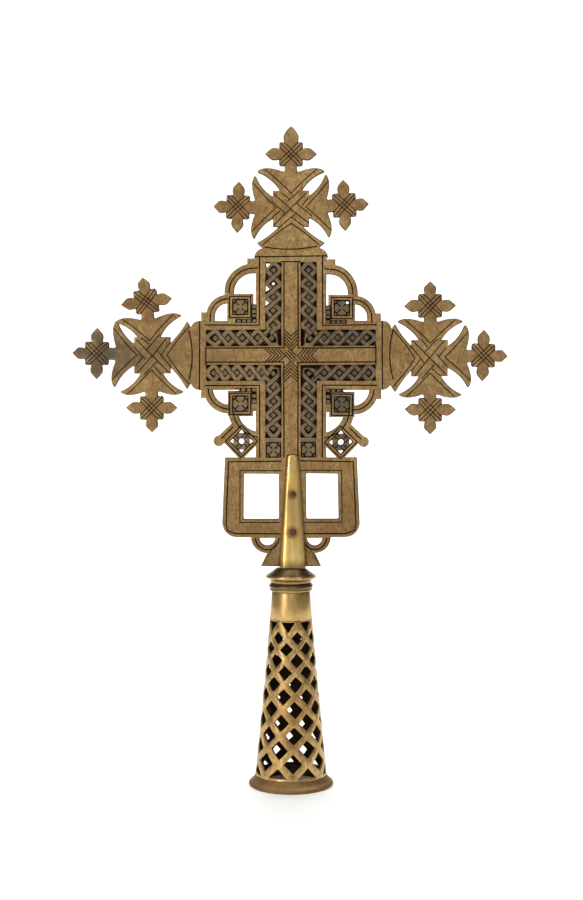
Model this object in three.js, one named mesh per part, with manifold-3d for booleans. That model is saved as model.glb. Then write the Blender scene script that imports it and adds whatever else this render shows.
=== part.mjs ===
// A brass processional cross: a flat pierced head, riveted between the two tines of a forked stem,
// over a turned knop, a neck ring and a tapered, latticed staff socket with a flared foot.
// Millimetres, +Z up. The cross stands on its base flange, with the flange's centre at the origin.
// The head lies in the XZ plane and its front faces -Y.

import * as THREE from 'three';
import { mergeVertices } from 'three/addons/utils/BufferGeometryUtils.js';
import Module from 'manifold-3d';

const wasm = await Module();
wasm.setup();

// ---- Driving dimensions ----------------------------------------------------------------------

const fitGap = 0.3;               // clearance between pieces that meet
const plateThickness = 5;
const crossingHeight = 269.6;     // centre of the crossing above the base

// Arms of the head, measured from the crossing
const armHalfWidth = 22.2;
const sideArmHalfWidth = 21.8;
const sideArmReach = 63.4;        // to the end of the cap
const topArmReach = 67.4;
const capLength = 6;
const capShoulderRadius = 5.4;
const topCapHalfWidth = 23.2;

// Strapwork panels, sunk beside the plain central bands
const panelDepth = 1;
const bandHalfWidth = 5.9;        // plain band with its raised rims
const panelHalfWidth = 16.2;
const sidePanelReach = 53.3;
const topPanelReach = 58.6;
const bottomPanelReach = 64;

// Finials: a woven knot, three fans, a lens at the root and three small crosses
const sideFinialReach = 87.6;     // crossing to the knot's centre
const topFinialReach = 92.7;
const rightFinialDrop = 1.8;
const knotHalf = 11.4;
const blockHalf = 7.4;
const budReach = 15.4;
const topBudReach = 17.4;
const sideBudReach = 16.1;
const budHalfWidth = 3.6;
const topBudHalfWidth = 4.6;
const neckHalf = 3.9;

// The hand-set arms of each finial, from its left to its right as it points outward: the reach
// from the knot to the small cross, the arm's lean and the small cross's own lean, in degrees
const topFinialArms = [
  { reach: 33.4, lean: -1, crossLean: -1, bud: budReach, halfSpan: 19.6 },
  { reach: 34, lean: 0, crossLean: 0, bud: topBudReach, halfSpan: 21 },
  { reach: 33.6, lean: 3, crossLean: 0, bud: budReach, halfSpan: 19.6 },
];
const leftFinialArms = [
  { reach: 33, lean: 0, crossLean: 0, bud: budReach, halfSpan: 19.6 },
  { reach: 34.6, lean: -2, crossLean: 1, bud: budReach, halfSpan: 20.6 },
  { reach: 34, lean: 6, crossLean: 2, bud: budReach, halfSpan: 20.6 },
];
const rightFinialArms = [
  { reach: 33, lean: 0, crossLean: 0, bud: budReach, halfSpan: 20.2 },
  { reach: 33.4, lean: 3, crossLean: -5, bud: budReach, halfSpan: 19.6 },
  { reach: 32.4, lean: 0, crossLean: 0, bud: budReach, halfSpan: 19.6 },
];

// Square rosette blocks in the four quadrants, and their arches
const upperBlock = { x: -31.9, z: 30.4, half: 8.3 };
const lowerBlock = { x: -31.9, z: -30.3, half: 8 };
const rosettePanelHalf = 5.1;
const rightSideShift = { x: 0.1, z: -0.6 };   // the right quadrants sit a little lower and nearer
const piercingRadius = 0.9;

// Pierced diamonds, straps and ball ends under the lower quadrants
const diamond = { x: -31.2, z: -54, half: 12, opening: 7.2 };
const ballEnd = { x: -45.4, z: -53.9, radius: 3.3 };

// Window frame under the head
const frameTop = -64.2;
const frameBottom = -114.3;
const frameHalfTop = 41.5;
const frameHalfBottom = 43.2;
const frameCornerRadius = 9;
const windowInner = { left: 7.8, right: 9.7 };
const windowOuter = 29.9;
const windowTop = -74.4;
const windowBottom = -103;

// Lobes and foot under the frame
const lobe = { x: 14.9, z: -114, outer: 10.2, inner: 4.9 };
const footTop = -110;
const footBottom = -132.6;
const footHalfTop = 8;
const footHalfBottom = 18.9;

// Forked stem
const stemTip = 207;
const stemTipHalfWidth = 3.1;
const stemRootHalfWidth = 8.2;
const stemShift = 1.2;            // the tines and rivets sit to the right of the turned pieces
const tineTipThickness = 1.7;
const tineRootThickness = 4.2;
const rootBlockHalfWidth = 6;
const rootBlockHeight = 8.4;
const tangRadius = 3.2;
const peenedHeadRadius = 5.2;

// Rivets through both tines and the plate
const upperRivet = { z: 182.4, headRadius: 1.9, shankRadius: 1.2 };
const lowerRivet = { z: 158.8, headRadius: 2.3, shankRadius: 1.6 };

// Turned pieces, from the top down
const knopTop = 136;
const knopTopRadius = 9.4;
const knopRimTop = 130.9;
const knopRimRadius = 16;
const knopBottom = 126.8;
const knopWaistRadius = 13.1;
const ringBulgeRadius = 13.8;
const ringLipRadius = 13.5;
const sleeveTop = 121.4;
const sleeveTopRadius = 12.1;
const sleeveBottom = 104.2;
const sleeveBottomRadius = 13.4;
const latticeBottom = 6.6;
const latticeBottomRadius = 22.4;
const flangeRadius = 26.5;
const flangeLip = 1.2;
const socketWall = 2;
const boreRadius = tangRadius + fitGap;

// Lattice: rows of diamond holes, each row turned half a step from the last
const holesAround = 7;
const latticeRows = 11;
const firstRowHeight = 93.5;
const firstRowStep = 6.8;
const lastRowStep = 8.7;
const topHoleHalfHeight = 4.1;
const bottomHoleHalfHeight = 5.9;
const holeHalfAngle = 16.4;       // degrees
const topTriangle = { halfHeight: 3.6, halfAngle: 18.5 };
const firstRowPhase = 17.2;       // degrees from the front, towards +X
const twistPerRow = -1.9;
const twistEasing = 0.055;        // the twist slackens down the socket
const rearHoleShare = 0.55;       // round the back the holes are smaller and the upper rows higher
const rearRowLift = 2;
const latticeTopRing = 103.3;
const latticeBottomRing = 8.2;

// Straight steps in each curved stretch of an outline; an arc takes twice as many
const curveSteps = 5;

// ---- Helpers ---------------------------------------------------------------------------------

function toManifold(geometry) {
  const bare = geometry.index ? geometry.toNonIndexed() : geometry.clone();
  bare.deleteAttribute('normal');
  bare.deleteAttribute('uv');
  const merged = mergeVertices(bare, 1e-4);
  return new wasm.Manifold(new wasm.Mesh({
    numProp: 3,
    vertProperties: new Float32Array(merged.attributes.position.array),
    triVerts: new Uint32Array(merged.index.array),
  }));
}

function toGeometry(manifold) {
  const mesh = manifold.getMesh();
  const geometry = new THREE.BufferGeometry();
  geometry.setAttribute('position', new THREE.BufferAttribute(mesh.vertProperties, mesh.numProp));
  geometry.setIndex(new THREE.BufferAttribute(mesh.triVerts, 1));
  return geometry;
}

function joined(solids) {
  return solids.reduce((whole, solid) => whole.add(solid));
}

// A flat solid of the plate's frame, between two depths: its outline is in X and Z, and depth runs
// towards the front.
function slab(shape, from = -plateThickness / 2, to = plateThickness / 2) {
  const options = { depth: to - from, bevelEnabled: false, curveSegments: curveSteps };
  const geometry = new THREE.ExtrudeGeometry(shape, options);
  geometry.translate(0, 0, from);
  return toManifold(geometry);
}

function mappedShape(shape, place) {
  const { shape: outline, holes } = shape.extractPoints(curveSteps);
  const mapped = new THREE.Shape(outline.map(place));
  mapped.holes = holes.map((hole) => new THREE.Path(hole.map(place)));
  return mapped;
}

function mirrored(shape) {
  return mappedShape(shape, (point) => new THREE.Vector2(-point.x, point.y));
}

function withMirror(shapes, shift = { x: 0, z: 0 }) {
  return [...shapes, ...shapes.map((shape) => turnedAndMoved(mirrored(shape), 0, shift.x, shift.z))];
}

function turnedAndMoved(shape, degrees, x, z) {
  const turn = THREE.MathUtils.degToRad(degrees);
  const centre = new THREE.Vector2(0, 0);
  return mappedShape(shape, (point) => point.clone().rotateAround(centre, turn).add(new THREE.Vector2(x, z)));
}

function polygon(...corners) {
  return new THREE.Shape(corners.map(([x, z]) => new THREE.Vector2(x, z)));
}

function rectangle(left, bottom, right, top) {
  return polygon([left, bottom], [right, bottom], [right, top], [left, top]);
}

function squareAround(x, z, half) {
  return rectangle(x - half, z - half, x + half, z + half);
}

function diamondAround(x, z, half) {
  return polygon([x - half, z], [x, z - half], [x + half, z], [x, z + half]);
}

function disc(x, z, radius, sides = 28) {
  const corners = Array.from({ length: sides }, (_, side) => {
    const angle = 2 * Math.PI * side / sides;
    return [x + radius * Math.cos(angle), z + radius * Math.sin(angle)];
  });
  return polygon(...corners);
}

function ringSector(x, z, inner, outer, startDegrees, endDegrees) {
  const start = THREE.MathUtils.degToRad(startDegrees);
  const end = THREE.MathUtils.degToRad(endDegrees);
  const shape = new THREE.Shape();
  shape.absarc(x, z, outer, start, end, false);
  shape.absarc(x, z, inner, end, start, true);
  shape.closePath();
  return shape;
}

function strip(x0, z0, x1, z1, width) {
  const along = new THREE.Vector2(x1 - x0, z1 - z0).normalize().multiplyScalar(width / 2);
  return polygon(
    [x0 - along.y, z0 + along.x], [x0 + along.y, z0 - along.x],
    [x1 + along.y, z1 - along.x], [x1 - along.y, z1 + along.x],
  );
}

// ---- Head plate ------------------------------------------------------------------------------

function armShapes() {
  const radius = capShoulderRadius;
  const end = { x: sideArmReach, z: sideArmHalfWidth };
  const sideArm = new THREE.Shape();
  sideArm.moveTo(0, -end.z);
  sideArm.lineTo(end.x - radius, -end.z);
  sideArm.quadraticCurveTo(end.x - 1, 0.6 - end.z, end.x, radius - end.z);
  sideArm.lineTo(end.x, end.z - radius);
  sideArm.quadraticCurveTo(end.x - 1, end.z - 0.6, end.x - radius, end.z);
  sideArm.lineTo(0, end.z);
  const topCap = new THREE.Shape();
  topCap.moveTo(-topCapHalfWidth, topArmReach - capLength);
  topCap.quadraticCurveTo(-topCapHalfWidth + 0.6, topArmReach - 1, -topCapHalfWidth + radius, topArmReach);
  topCap.lineTo(topCapHalfWidth - radius, topArmReach);
  topCap.quadraticCurveTo(topCapHalfWidth - 0.6, topArmReach - 1, topCapHalfWidth, topArmReach - capLength);
  const upright = rectangle(-armHalfWidth, frameTop - 2, armHalfWidth, topArmReach - capLength + 0.4);
  return [...withMirror([sideArm]), topCap, upright];
}

// A leaf-shaped bud that points outward along +Z from its block's centre.
function budShape(reach, halfWidth) {
  const root = 0.8 * halfWidth;
  const swell = 1.2 * halfWidth;
  const shoulder = 0.95 * halfWidth;
  const taper = 0.62 * halfWidth;
  const bud = new THREE.Shape();
  bud.moveTo(-root, blockHalf - 1);
  bud.quadraticCurveTo(-swell, 10, -shoulder, 12.1);
  bud.quadraticCurveTo(-taper, reach - 2.2, 0, reach);
  bud.quadraticCurveTo(taper, reach - 2.2, shoulder, 12.1);
  bud.quadraticCurveTo(swell, 10, root, blockHalf - 1);
  return bud;
}

// A small cross, around its own block.
function smallCrossShapes(outwardBudReach) {
  const chamfer = 0.9;
  const block = polygon(
    [-blockHalf + chamfer, -blockHalf], [blockHalf - chamfer, -blockHalf],
    [blockHalf, -blockHalf + chamfer], [blockHalf, blockHalf - chamfer],
    [blockHalf - chamfer, blockHalf], [-blockHalf + chamfer, blockHalf],
    [-blockHalf, blockHalf - chamfer], [-blockHalf, -blockHalf + chamfer],
  );
  const outwardHalfWidth = outwardBudReach === topBudReach ? topBudHalfWidth : budHalfWidth;
  const bud = budShape(outwardBudReach, outwardHalfWidth);
  const sideBud = budShape(sideBudReach, budHalfWidth);
  return [block, bud, turnedAndMoved(sideBud, 90, 0, 0), turnedAndMoved(sideBud, -90, 0, 0)];
}

// A fan that spreads outward along +Z from the knot, with a neck at its middle.
function fanShape(halfSpan, reach) {
  const fan = new THREE.Shape();
  fan.moveTo(-6, knotHalf - 2);
  fan.quadraticCurveTo(-halfSpan * 0.51, 18.4, -halfSpan, 22.6);
  fan.quadraticCurveTo(-halfSpan - 0.2, 23.6, -halfSpan + 1, 24);
  fan.quadraticCurveTo(-halfSpan * 0.72, 26.4, -neckHalf - 1, 22.9);
  fan.quadraticCurveTo(-neckHalf, 23, -neckHalf, 24);
  fan.lineTo(-neckHalf, reach - blockHalf + 1);
  fan.lineTo(neckHalf, reach - blockHalf + 1);
  fan.lineTo(neckHalf, 24);
  fan.quadraticCurveTo(neckHalf, 23, neckHalf + 1, 22.9);
  fan.quadraticCurveTo(halfSpan * 0.72, 26.4, halfSpan - 1, 24);
  fan.quadraticCurveTo(halfSpan + 0.2, 23.6, halfSpan, 22.6);
  fan.quadraticCurveTo(halfSpan * 0.51, 18.4, 6, knotHalf - 2);
  return fan;
}

// The lens at the finial's root, whose two tips stand free above the cap's shoulders.
function lensShape(rootDistance) {
  const lens = new THREE.Shape();
  lens.moveTo(0, -4);
  lens.lineTo(-7.2, -knotHalf);
  lens.quadraticCurveTo(-13.6, -17.7, -20.8, -21.6);
  lens.quadraticCurveTo(-21.6, -22.2, -20.8, -22.6);
  lens.lineTo(-16.6, -rootDistance);
  lens.lineTo(16.6, -rootDistance);
  lens.lineTo(20.8, -22.6);
  lens.quadraticCurveTo(21.6, -22.2, 20.8, -21.6);
  lens.quadraticCurveTo(13.6, -17.7, 7.2, -knotHalf);
  return lens;
}

// A fan with its small cross, pointing along +Z from the knot.
function finialArmShapes(arm) {
  const cross = smallCrossShapes(arm.bud).map((shape) => turnedAndMoved(shape, arm.crossLean, 0, arm.reach));
  return [fanShape(arm.halfSpan, arm.reach), ...cross].map((shape) => turnedAndMoved(shape, arm.lean, 0, 0));
}

// A whole finial that points along +Z from its knot, with arms to its left, outward and right.
function finialShapes(rootDistance, arms) {
  const armShapesAround = arms.flatMap((arm, index) => (
    finialArmShapes(arm).map((shape) => turnedAndMoved(shape, 90 - 90 * index, 0, 0))
  ));
  return [squareAround(0, -0.4, knotHalf), lensShape(rootDistance), ...armShapesAround];
}

function allFinialShapes() {
  const top = finialShapes(topFinialReach - topArmReach + 1, topFinialArms);
  const left = finialShapes(sideFinialReach - sideArmReach + 1, leftFinialArms);
  const right = finialShapes(sideFinialReach - sideArmReach + 1, rightFinialArms);
  return [
    ...top.map((shape) => turnedAndMoved(shape, 0, 0, topFinialReach)),
    ...left.map((shape) => turnedAndMoved(shape, 90, -sideFinialReach, 0)),
    ...right.map((shape) => turnedAndMoved(shape, -90, sideFinialReach, -rightFinialDrop)),
  ];
}

function upperQuadrantShapes() {
  return [
    squareAround(upperBlock.x, upperBlock.z, upperBlock.half),
    ringSector(-23.9, 39.7, 12, 18, 90, 180),
    rectangle(-24.4, 51.7, -armHalfWidth + 1, 57.7),
    rectangle(-41.9, 37.5, -35.9, 39.9),
    rectangle(-27.6, 56.5, -armHalfWidth + 1, 60.9),
    ringSector(-39.7, 24.6, 8.2, 13.6, 90, 180),
    rectangle(-53.3, 21, -47.9, 24.8),
    rectangle(-56.4, 21, -52.8, 27.1),
    rectangle(-25, 21, -armHalfWidth + 0.5, 32),
    rectangle(-39, 21, -23, 23),
  ];
}

function lowerQuadrantShapes() {
  return [
    squareAround(lowerBlock.x, lowerBlock.z, lowerBlock.half),
    ringSector(-39.1, -20.8, 10.1, 15.8, 180, 270),
    rectangle(-56.7, -26.9, -52.2, -21),
    rectangle(-25, -35.2, -armHalfWidth + 0.5, -21),
    rectangle(-33, -23, -23, -21),
    ringSector(-18.6, -33.4, 15, 21.1, 178, 262),
    diamondAround(diamond.x, diamond.z, diamond.half),
    strip(-35.8, -44.4, -45, -53.4, 4.6),
    disc(ballEnd.x, ballEnd.z, ballEnd.radius),
  ];
}

function windowFrameShape() {
  const radius = frameCornerRadius;
  const frame = new THREE.Shape();
  frame.moveTo(-frameHalfTop, frameTop);
  frame.lineTo(-frameHalfBottom, frameBottom + radius);
  frame.quadraticCurveTo(-frameHalfBottom + 1, frameBottom + 0.6, -frameHalfBottom + radius, frameBottom);
  frame.lineTo(frameHalfBottom - radius, frameBottom);
  frame.quadraticCurveTo(frameHalfBottom - 1, frameBottom + 0.6, frameHalfBottom, frameBottom + radius);
  frame.lineTo(frameHalfTop, frameTop);
  return frame;
}

function footShapes() {
  const foot = polygon(
    [-footHalfBottom, footBottom], [footHalfBottom, footBottom],
    [footHalfTop, footTop], [-footHalfTop, footTop],
  );
  return [foot, ...withMirror([disc(lobe.x, lobe.z, lobe.outer)])];
}

function windowShape(inner) {
  const radius = 0.9;
  const window = new THREE.Shape();
  window.moveTo(inner + radius, windowBottom);
  window.lineTo(windowOuter - radius, windowBottom);
  window.quadraticCurveTo(windowOuter, windowBottom, windowOuter, windowBottom + radius);
  window.lineTo(windowOuter - 0.4, windowTop - radius);
  window.quadraticCurveTo(windowOuter - 0.4, windowTop, windowOuter - 0.4 - radius, windowTop);
  window.lineTo(inner + radius, windowTop);
  window.quadraticCurveTo(inner, windowTop, inner, windowTop - radius);
  window.lineTo(inner, windowBottom + radius);
  window.quadraticCurveTo(inner, windowBottom, inner + radius, windowBottom);
  return window;
}

function halfMoonShape() {
  const moon = new THREE.Shape();
  moon.absarc(lobe.x, frameBottom - 0.4, lobe.inner, Math.PI, 2 * Math.PI, false);
  moon.closePath();
  return moon;
}

// Holes of one diamond's openwork: one in the middle and one in each corner.
function diamondHoles() {
  const reach = diamond.opening - 1.6;
  const corner = 1.7;
  return [
    disc(diamond.x, diamond.z, 1.75, 12),
    polygon([diamond.x - reach - corner, diamond.z], [diamond.x - reach + 0.4, diamond.z - corner],
      [diamond.x - reach + 0.4, diamond.z + corner]),
    polygon([diamond.x + reach + corner, diamond.z], [diamond.x + reach - 0.4, diamond.z + corner],
      [diamond.x + reach - 0.4, diamond.z - corner]),
    polygon([diamond.x, diamond.z - reach - corner], [diamond.x + corner, diamond.z - reach + 0.4],
      [diamond.x - corner, diamond.z - reach + 0.4]),
    polygon([diamond.x, diamond.z + reach + corner], [diamond.x - corner, diamond.z + reach - 0.4],
      [diamond.x + corner, diamond.z + reach - 0.4]),
  ];
}

// The upper right rosette is pierced at its outer top corner.
function rosettePiercing() {
  const reach = rosettePanelHalf - 1.6;
  return disc(
    rightSideShift.x - upperBlock.x + reach, rightSideShift.z + upperBlock.z + reach, piercingRadius, 10,
  );
}

// Holes cut right through the strapwork, beside the strands at the head of the upper left panel.
function strapworkPiercings() {
  const outer = -panelHalfWidth + 0.3;
  return [
    polygon([outer, 57.9], [outer + 0.8, 55], [outer + 3.2, 57.9]),
    polygon([outer, 43.8], [outer, 39.8], [outer + 2.4, 41.6]),
    polygon([outer, 34.6], [outer, 31], [outer + 2.2, 32.8]),
    diamondAround(-11.2, 45.1, 1.1),
  ];
}

function lShapedPanel(sideReach, endHeight) {
  const towards = Math.sign(endHeight);
  return polygon(
    [-bandHalfWidth, towards * bandHalfWidth], [-sideReach, towards * bandHalfWidth],
    [-sideReach, towards * panelHalfWidth], [-panelHalfWidth, towards * panelHalfWidth],
    [-panelHalfWidth, endHeight], [-bandHalfWidth, endHeight],
  );
}

function sunkPanels() {
  const panels = [
    ...withMirror([
      lShapedPanel(sidePanelReach, topPanelReach), lShapedPanel(sidePanelReach, -bottomPanelReach),
    ]),
    ...withMirror([
      squareAround(upperBlock.x, upperBlock.z, rosettePanelHalf),
      squareAround(lowerBlock.x, lowerBlock.z, rosettePanelHalf),
    ], rightSideShift),
  ];
  const face = plateThickness / 2;
  return joined(panels.flatMap((panel) => [
    slab(panel, face - panelDepth, face + 1),
    slab(panel, -face - 1, -face + panelDepth),
  ]));
}

function rivetHole(rivet) {
  return disc(stemShift, rivet.z - crossingHeight, rivet.shankRadius + fitGap, 24);
}

function crossPlate() {
  const body = joined([
    ...armShapes(), ...allFinialShapes(),
    ...withMirror([...upperQuadrantShapes(), ...lowerQuadrantShapes()], rightSideShift),
    windowFrameShape(), ...footShapes(),
  ].map((shape) => slab(shape)));
  const rootSlot = rectangle(
    stemShift - rootBlockHalfWidth - fitGap, footBottom - 1,
    stemShift + rootBlockHalfWidth + fitGap, knopTop + rootBlockHeight + 2 * fitGap - crossingHeight,
  );
  const through = [
    windowShape(windowInner.right), mirrored(windowShape(windowInner.left)),
    ...withMirror([halfMoonShape()]), ...withMirror(diamondHoles(), rightSideShift),
    rosettePiercing(), ...strapworkPiercings(), rivetHole(upperRivet), rivetHole(lowerRivet), rootSlot,
  ];
  const cuts = joined(through.map((shape) => slab(shape, -plateThickness, plateThickness)));
  const geometry = toGeometry(body.subtract(cuts).subtract(sunkPanels()));
  geometry.rotateX(Math.PI / 2);
  geometry.translate(0, 0, crossingHeight);
  return geometry;
}

// ---- Forked stem and rivets ------------------------------------------------------------------

// A closed solid through rings of points, all with the same number of points.
function loft(rings) {
  const count = rings[0].length;
  const positions = rings.flat().flatMap((point) => point.toArray());
  const triangles = [];
  for (let ring = 0; ring + 1 < rings.length; ring += 1) {
    for (let i = 0; i < count; i += 1) {
      const a = ring * count + i;
      const b = ring * count + (i + 1) % count;
      triangles.push(a, b, b + count, a, b + count, a + count);
    }
  }
  const last = (rings.length - 1) * count;
  for (let i = 1; i + 1 < count; i += 1) {
    triangles.push(0, i + 1, i);
    triangles.push(last, last + i, last + i + 1);
  }
  const geometry = new THREE.BufferGeometry();
  geometry.setAttribute('position', new THREE.Float32BufferAttribute(positions, 3));
  geometry.setIndex(triangles);
  return geometry;
}

const slotHalf = plateThickness / 2 + fitGap;
const stemBottom = knopTop + fitGap;

function stemHalfWidth(height) {
  const share = (stemTip - height) / (stemTip - stemBottom);
  return stemTipHalfWidth + (stemRootHalfWidth - stemTipHalfWidth) * share ** 0.85;
}

function tineThickness(height) {
  const share = (stemTip - height) / (stemTip - stemBottom);
  return tineTipThickness + (tineRootThickness - tineTipThickness) * share;
}

// One tine's section at a height: flat against the plate, with low sides and a rounded face.
function tineRing(height, widthShare) {
  const half = stemHalfWidth(height) * widthShare;
  const side = 0.75;
  const crown = tineThickness(height) - side;
  const ring = [new THREE.Vector3(-half, -slotHalf, height)];
  const steps = 10;
  for (let i = 0; i <= steps; i += 1) {
    const angle = Math.PI * (1 - i / steps);
    ring.push(new THREE.Vector3(half * Math.cos(angle), -slotHalf - side - crown * Math.sin(angle), height));
  }
  ring.push(new THREE.Vector3(half, -slotHalf, height));
  return ring;
}

function frontTine() {
  const straight = [0, 0.15, 0.3, 0.45, 0.6, 0.75, 0.9].map((share) => (
    tineRing(stemBottom + (stemTip - 1.4 - stemBottom) * share, 1)
  ));
  const tip = [[1.4, 1], [0.6, 0.92], [0.15, 0.78], [0, 0.6]].map(([drop, share]) => (
    tineRing(stemTip - drop, share)
  ));
  return loft([...straight, ...tip]);
}

function cylinderAlongZ(radius, bottom, top, sides = 32) {
  const geometry = new THREE.CylinderGeometry(radius, radius, top - bottom, sides);
  geometry.rotateX(Math.PI / 2);
  geometry.translate(0, 0, (top + bottom) / 2);
  return geometry;
}

function cylinderAlongY(radius, length, z) {
  const geometry = new THREE.CylinderGeometry(radius, radius, length, 24);
  geometry.translate(stemShift, 0, z);
  return geometry;
}

function forkedStem() {
  const front = toManifold(frontTine().translate(stemShift, 0, 0));
  const rear = toManifold(frontTine().rotateZ(Math.PI).translate(stemShift, 0, 0));
  const rootBlock = new THREE.BoxGeometry(2 * rootBlockHalfWidth, 2 * slotHalf + 1, rootBlockHeight);
  rootBlock.translate(stemShift, 0, stemBottom + rootBlockHeight / 2);
  const headTop = sleeveTop - 3 - fitGap;
  const tang = cylinderAlongZ(tangRadius, headTop - 1, stemBottom + 1);
  const head = cylinderAlongZ(peenedHeadRadius, headTop - 2.2, headTop);
  const body = joined([front, rear, toManifold(rootBlock), toManifold(tang), toManifold(head)]);
  const holes = [upperRivet, lowerRivet].map((rivet) => (
    toManifold(cylinderAlongY(rivet.shankRadius + fitGap, 40, rivet.z))
  ));
  return toGeometry(body.subtract(joined(holes)));
}

function rivetGeometry(rivet) {
  const headRise = 0.7;
  const reach = slotHalf + tineThickness(rivet.z) + 0.1;
  const half = [
    [0, reach + headRise], [rivet.headRadius * 0.6, reach + headRise * 0.85],
    [rivet.headRadius, reach + 0.15], [rivet.headRadius, reach],
    [rivet.shankRadius, reach],
  ];
  const other = half.map(([radius, along]) => [radius, -along]).reverse();
  const profile = [...half, ...other].map(([radius, along]) => new THREE.Vector2(radius, along)).reverse();
  return new THREE.LatheGeometry(profile, 24);
}

// ---- Turned pieces ---------------------------------------------------------------------------

// A ring or tube turned about the Z axis from a closed profile of [radius, height] points.
function turned(profile, sides) {
  const points = profile.map(([radius, height]) => new THREE.Vector2(radius, height));
  points.push(points[0].clone());
  const geometry = new THREE.LatheGeometry(points, sides);
  geometry.rotateX(Math.PI / 2);
  return geometry;
}

function arcProfile(from, to, bulge, steps) {
  const points = [];
  for (let i = 1; i < steps; i += 1) {
    const share = i / steps;
    const swell = bulge * Math.sin(Math.PI * share);
    points.push([from[0] + (to[0] - from[0]) * share + swell, from[1] + (to[1] - from[1]) * share]);
  }
  return points;
}

function knopGeometry() {
  const rimTop = [knopRimRadius, knopRimTop];
  const rimBottom = [knopRimRadius, knopRimTop - 1];
  const waist = [knopWaistRadius, knopBottom + 1.4];
  return turned([
    [boreRadius, knopBottom], [knopWaistRadius, knopBottom], waist,
    ...arcProfile(waist, rimBottom, -0.5, 4), rimBottom, rimTop,
    [knopTopRadius, knopTop], [boreRadius, knopTop],
  ], 36);
}

function neckRingGeometry() {
  const top = knopBottom - fitGap;
  const bottom = sleeveTop + fitGap;
  const upper = [knopWaistRadius - 0.4, top];
  const bulge = [ringBulgeRadius, top - 1.9];
  const neck = [ringLipRadius - 0.4, bottom + 1.4];
  const lip = [ringLipRadius, bottom + 0.7];
  return turned([
    [boreRadius, bottom], [ringLipRadius - 0.8, bottom], lip, neck, bulge,
    ...arcProfile(bulge, upper, 0.3, 3), upper, [boreRadius, top],
  ], 36);
}

function sleeveGeometry() {
  const roof = 3;
  return turned([
    [sleeveBottomRadius - socketWall, sleeveBottom], [sleeveBottomRadius, sleeveBottom],
    [sleeveTopRadius, sleeveTop], [boreRadius, sleeveTop], [boreRadius, sleeveTop - roof],
    [sleeveTopRadius - socketWall, sleeveTop - roof],
  ], 36);
}

function flangeGeometry() {
  const inner = latticeBottomRadius - socketWall;
  const lipTop = [flangeRadius, flangeLip];
  const top = [latticeBottomRadius, latticeBottom - fitGap];
  return turned([
    [inner, 0], [flangeRadius - 0.4, 0], [flangeRadius, 0.4], lipTop,
    ...arcProfile(lipTop, top, -1.1, 4), top, [inner, latticeBottom - fitGap],
  ], 48);
}

// ---- Lattice socket --------------------------------------------------------------------------

const latticeTop = sleeveBottom - fitGap;

function latticeRadius(height) {
  const share = (height - latticeBottom) / (latticeTop - latticeBottom);
  return latticeBottomRadius + (sleeveBottomRadius - latticeBottomRadius) * share;
}

function rowHeight(row) {
  const growth = (lastRowStep - firstRowStep) / (latticeRows - 1);
  return firstRowHeight - row * firstRowStep - growth * row * (row - 1) / 2;
}

function rowPhase(row) {
  const halfStep = 180 / holesAround;
  return firstRowPhase + row * (twistPerRow + row * twistEasing) - (row % 2 === 0 ? 0 : halfStep);
}

// The four corners of one diamond hole, as [degrees, height]; the end rows are cut off by the rings.
function holeCorners(row, index) {
  const share = THREE.MathUtils.clamp(row / (latticeRows - 1), 0, 1);
  const angle = rowPhase(row) + index * 360 / holesAround;
  const rear = ((1 - Math.cos(THREE.MathUtils.degToRad(angle))) / 2) ** 2;
  const size = THREE.MathUtils.lerp(1, rearHoleShare, rear);
  const height = rowHeight(row) + rearRowLift * rear * (1 - share);
  let halfAngle = holeHalfAngle * size;
  let halfHeight = THREE.MathUtils.lerp(topHoleHalfHeight, bottomHoleHalfHeight, share) * size;
  if (row < 0) {
    halfAngle = topTriangle.halfAngle * size;
    halfHeight = topTriangle.halfHeight * size;
  }
  let sideHeight = height;
  if (row < 0) sideHeight = latticeTopRing;
  if (row === latticeRows) sideHeight = latticeBottomRing;
  return {
    left: [angle - halfAngle, sideHeight],
    right: [angle + halfAngle, sideHeight],
    top: [angle, height + halfHeight],
    bottom: [angle, height - halfHeight],
  };
}

function latticePoint([degrees, height], depth) {
  const angle = THREE.MathUtils.degToRad(degrees);
  const radius = latticeRadius(height) - depth;
  return [radius * Math.sin(angle), -radius * Math.cos(angle), height];
}

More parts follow.
